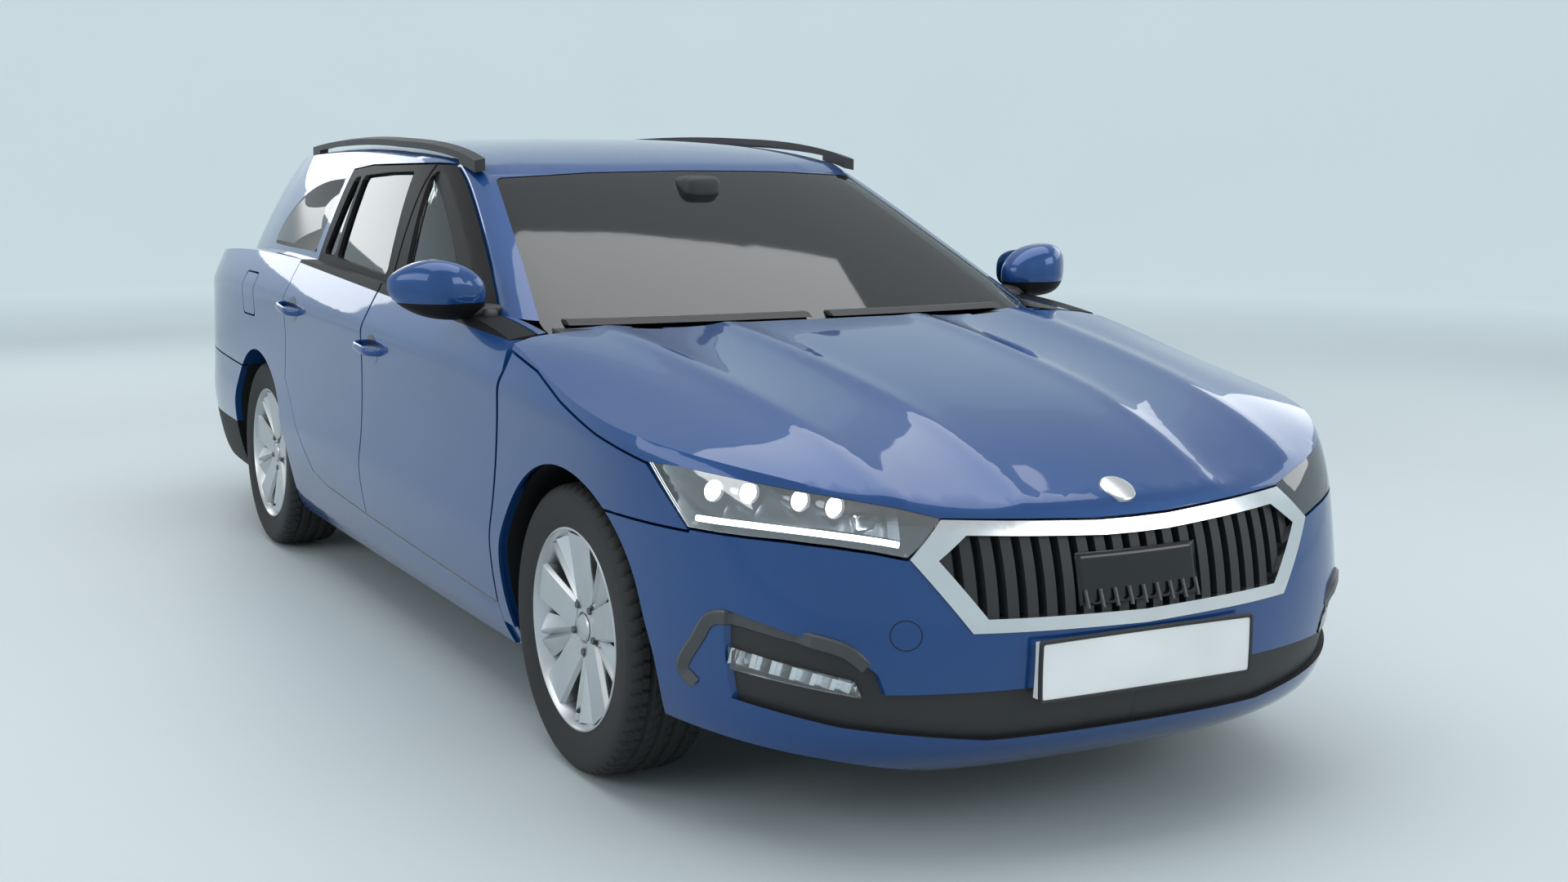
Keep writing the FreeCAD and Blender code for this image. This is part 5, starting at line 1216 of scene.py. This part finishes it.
def stuffed(name, centre, size, lean, finish, channels=3, power=3.6, swell=0.010):
    # cushion: a rounded block blown up as cloth, then sewn channels and a dished middle pressed into it
    block = superBox((0, 0, 0), (1, 1, 1), power, 30, 56) * (np.asarray(size) - 1.2 * swell)
    piece = gridPiece(name, block, "body", finish, False, True, smooth=60)
    blownUp(piece, swell)
    co = coordinates(piece)
    half = np.asarray(size) / 2
    long, flat = (0, 2) if size[0] > size[2] else (2, 0)
    u = co[:, long] / half[long]
    v = co[:, 1] / half[1]
    groove = np.exp(-((((u * (channels + 1) / 2) % 1) - 0.5) / 0.09) ** 2) * (np.abs(u) < 0.8)
    sew = np.exp(-((np.abs(v) - 0.66) / 0.05) ** 2)
    dish = np.exp(-(v / 0.4) ** 2) * np.exp(-(u / 0.5) ** 2)
    dent = 0.010 * np.maximum(groove * (np.abs(v) < 0.62), sew) + 0.012 * dish
    co[:, flat] -= np.sign(co[:, flat]) * dent * (np.abs(co[:, flat]) > half[flat] * 0.5)
    angle = math.radians(lean)
    x = co[:, 0] * math.cos(angle) - co[:, 2] * math.sin(angle)
    z = co[:, 0] * math.sin(angle) + co[:, 2] * math.cos(angle)
    piece.data.vertices.foreach_set("co", (np.stack([x, co[:, 1], z], -1) + np.asarray(centre)).ravel())
    piece.data.update()
    shadeSmooth(piece.data, 60)
    return piece


def makeSeats():
    # per seat a cushion and a back, then the headrests on their stalks and the frame under the cushion
    for row, look in seatLook.items():
        look = {**seatSize, **look}
        lean = math.radians(look["tilt"])
        along = np.array([-math.sin(lean), 0, math.cos(lean)])
        middle = look["x"] - look["length"] / 2
        for sign, tag in ((1, "_left"), (-1, "_right")) if row == "front" else ((0, ""),):
            tag = row + tag
            y = sign * look["y"]
            stuffed("seat_cushion_" + tag, (middle, y, look["low"] + 0.080),
                                (look["length"], look["width"], look["thick"]), 0, darkCloth)
            root = np.array([look["x"] - look["length"] + 0.065, y, look["low"] + 0.053])
            stuffed("seat_back_" + tag, root + along * look["back"] / 2,
                                (look["backThick"], look["width"], look["back"]), look["tilt"], darkCloth, 4)
            frameParts = []
            for spot in look["heads"]:
                shift = np.array([0, spot, 0])
                centre = root + along * (look["back"] + 0.10) + shift
                stuffed("headrest_%s_%d" % (tag, round((y + spot) * 100) % 97), centre,
                                    look["head"], look["tilt"], darkCloth, 0, 3.0, 0.006)
                for beside in (-look["stalkHalf"], look["stalkHalf"]):
                    foot = root + along * (look["back"] - 0.03) + shift + np.array([0, beside, 0])
                    frameParts.append(rod(tubeGrid([foot, foot + along * 0.08], look["stalk"], 10)))
            base = (look["length"] - 0.20, look["width"] * 0.6, 0.19)
            frameParts.append(shell(superBox((middle, y, 0.325), base, 8, 12, 24)))
            joinedPiece("seat_frame_" + tag, frameParts, "body", blackPlastic, 40)
        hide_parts(look["stands"])


steeringLook = {"tilt": 24, "centre": (0.470, 0.370, 0.830), "rim": 0.183, "tube": 0.0145,
                "spokes": ((0.176, 0.006), (-0.176, 0.006), (0.0, -0.172)),
                "spokeRadii": (0.026, 0.018, 0.015), "pad": ((0.012, 0, -0.005), (0.050, 0.130, 0.110)),
                "column": ((-0.030, 0, 0), (-0.080, 0, 0))}


def makeWheel():
    # rim with a flat foot, centre pad, three spokes and the column's end, all turned into the column's slant
    look = steeringLook
    tilt = math.radians(look["tilt"])
    turn = np.array([(-math.cos(tilt), 0, math.sin(tilt)), (0, 1, 0), (math.sin(tilt), 0, math.cos(tilt))])
    angle = np.linspace(0, 2 * np.pi, 64, endpoint=False)
    tube = np.linspace(0, 2 * np.pi, 14, endpoint=False)
    a, b = np.meshgrid(angle, tube, indexing="ij")
    flat = np.where(np.sin(a) < -0.72, 0.965, 1.0)
    radius = look["rim"] + look["tube"] * np.cos(b)
    ring = np.stack([look["tube"] * np.sin(b), radius * np.cos(a), radius * np.sin(a) * flat], -1)
    parts = [(ring, True, True, False), shell(superBox(*look["pad"], 3.2, 16, 28))]
    for y, z in look["spokes"]:
        line = [(0.0, y * 0.25, z * 0.25), (-0.004, y * 0.65, z * 0.65), (0.0, y, z)]
        parts.append(rod(tubeGrid(line, look["spokeRadii"], 12, 0.45, up=(1, 0, 0))))
    parts.append(rod(tubeGrid(look["column"], 0.030, 24)))
    parts = [(grid @ turn + np.array(look["centre"]), *flags) for grid, *flags in parts]
    wheel = joinedPiece("steering_wheel_rim", parts, "steering_wheel", darkDash, 50)
    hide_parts("steering_wheel")


dashLook = {"hood": (0.20, 0.36, 0.075), "screen": (0.022, 0.240, 0.135),
            "housing": ((0.400, 0.0, 1.285), (0.110, 0.120, 0.070)),
            "mirror": ((0.335, 0.0, 1.225), (0.030, 0.235, 0.070))}


def makeDash():
    # rounded blocks: the instruments' hood, the screen, and the inner mirror with its housing
    look = dashLook
    (back, _, _), (_, _, top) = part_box("dashboard")
    hood = superBox((back + 0.10, steeringLook["centre"][1], top + 0.004), look["hood"], 3.0, 20, 36)
    screen = superBox((back - 0.004, 0.0, top - 0.035), look["screen"], 9, 16, 28)
    shellPiece("instrument_hood", hood, "body", darkDash, 60)
    shellPiece("centre_screen", screen, "body", glossBlack)
    parts = [shell(superBox(*look[key], 4, 16, 28)) for key in ("housing", "mirror")]
    joinedPiece("camera_housing", parts, "body", blackPlastic, 50)


makeTail()
makeSeats()
makeWheel()
makeDash()
print("stage: cabin and tail made")
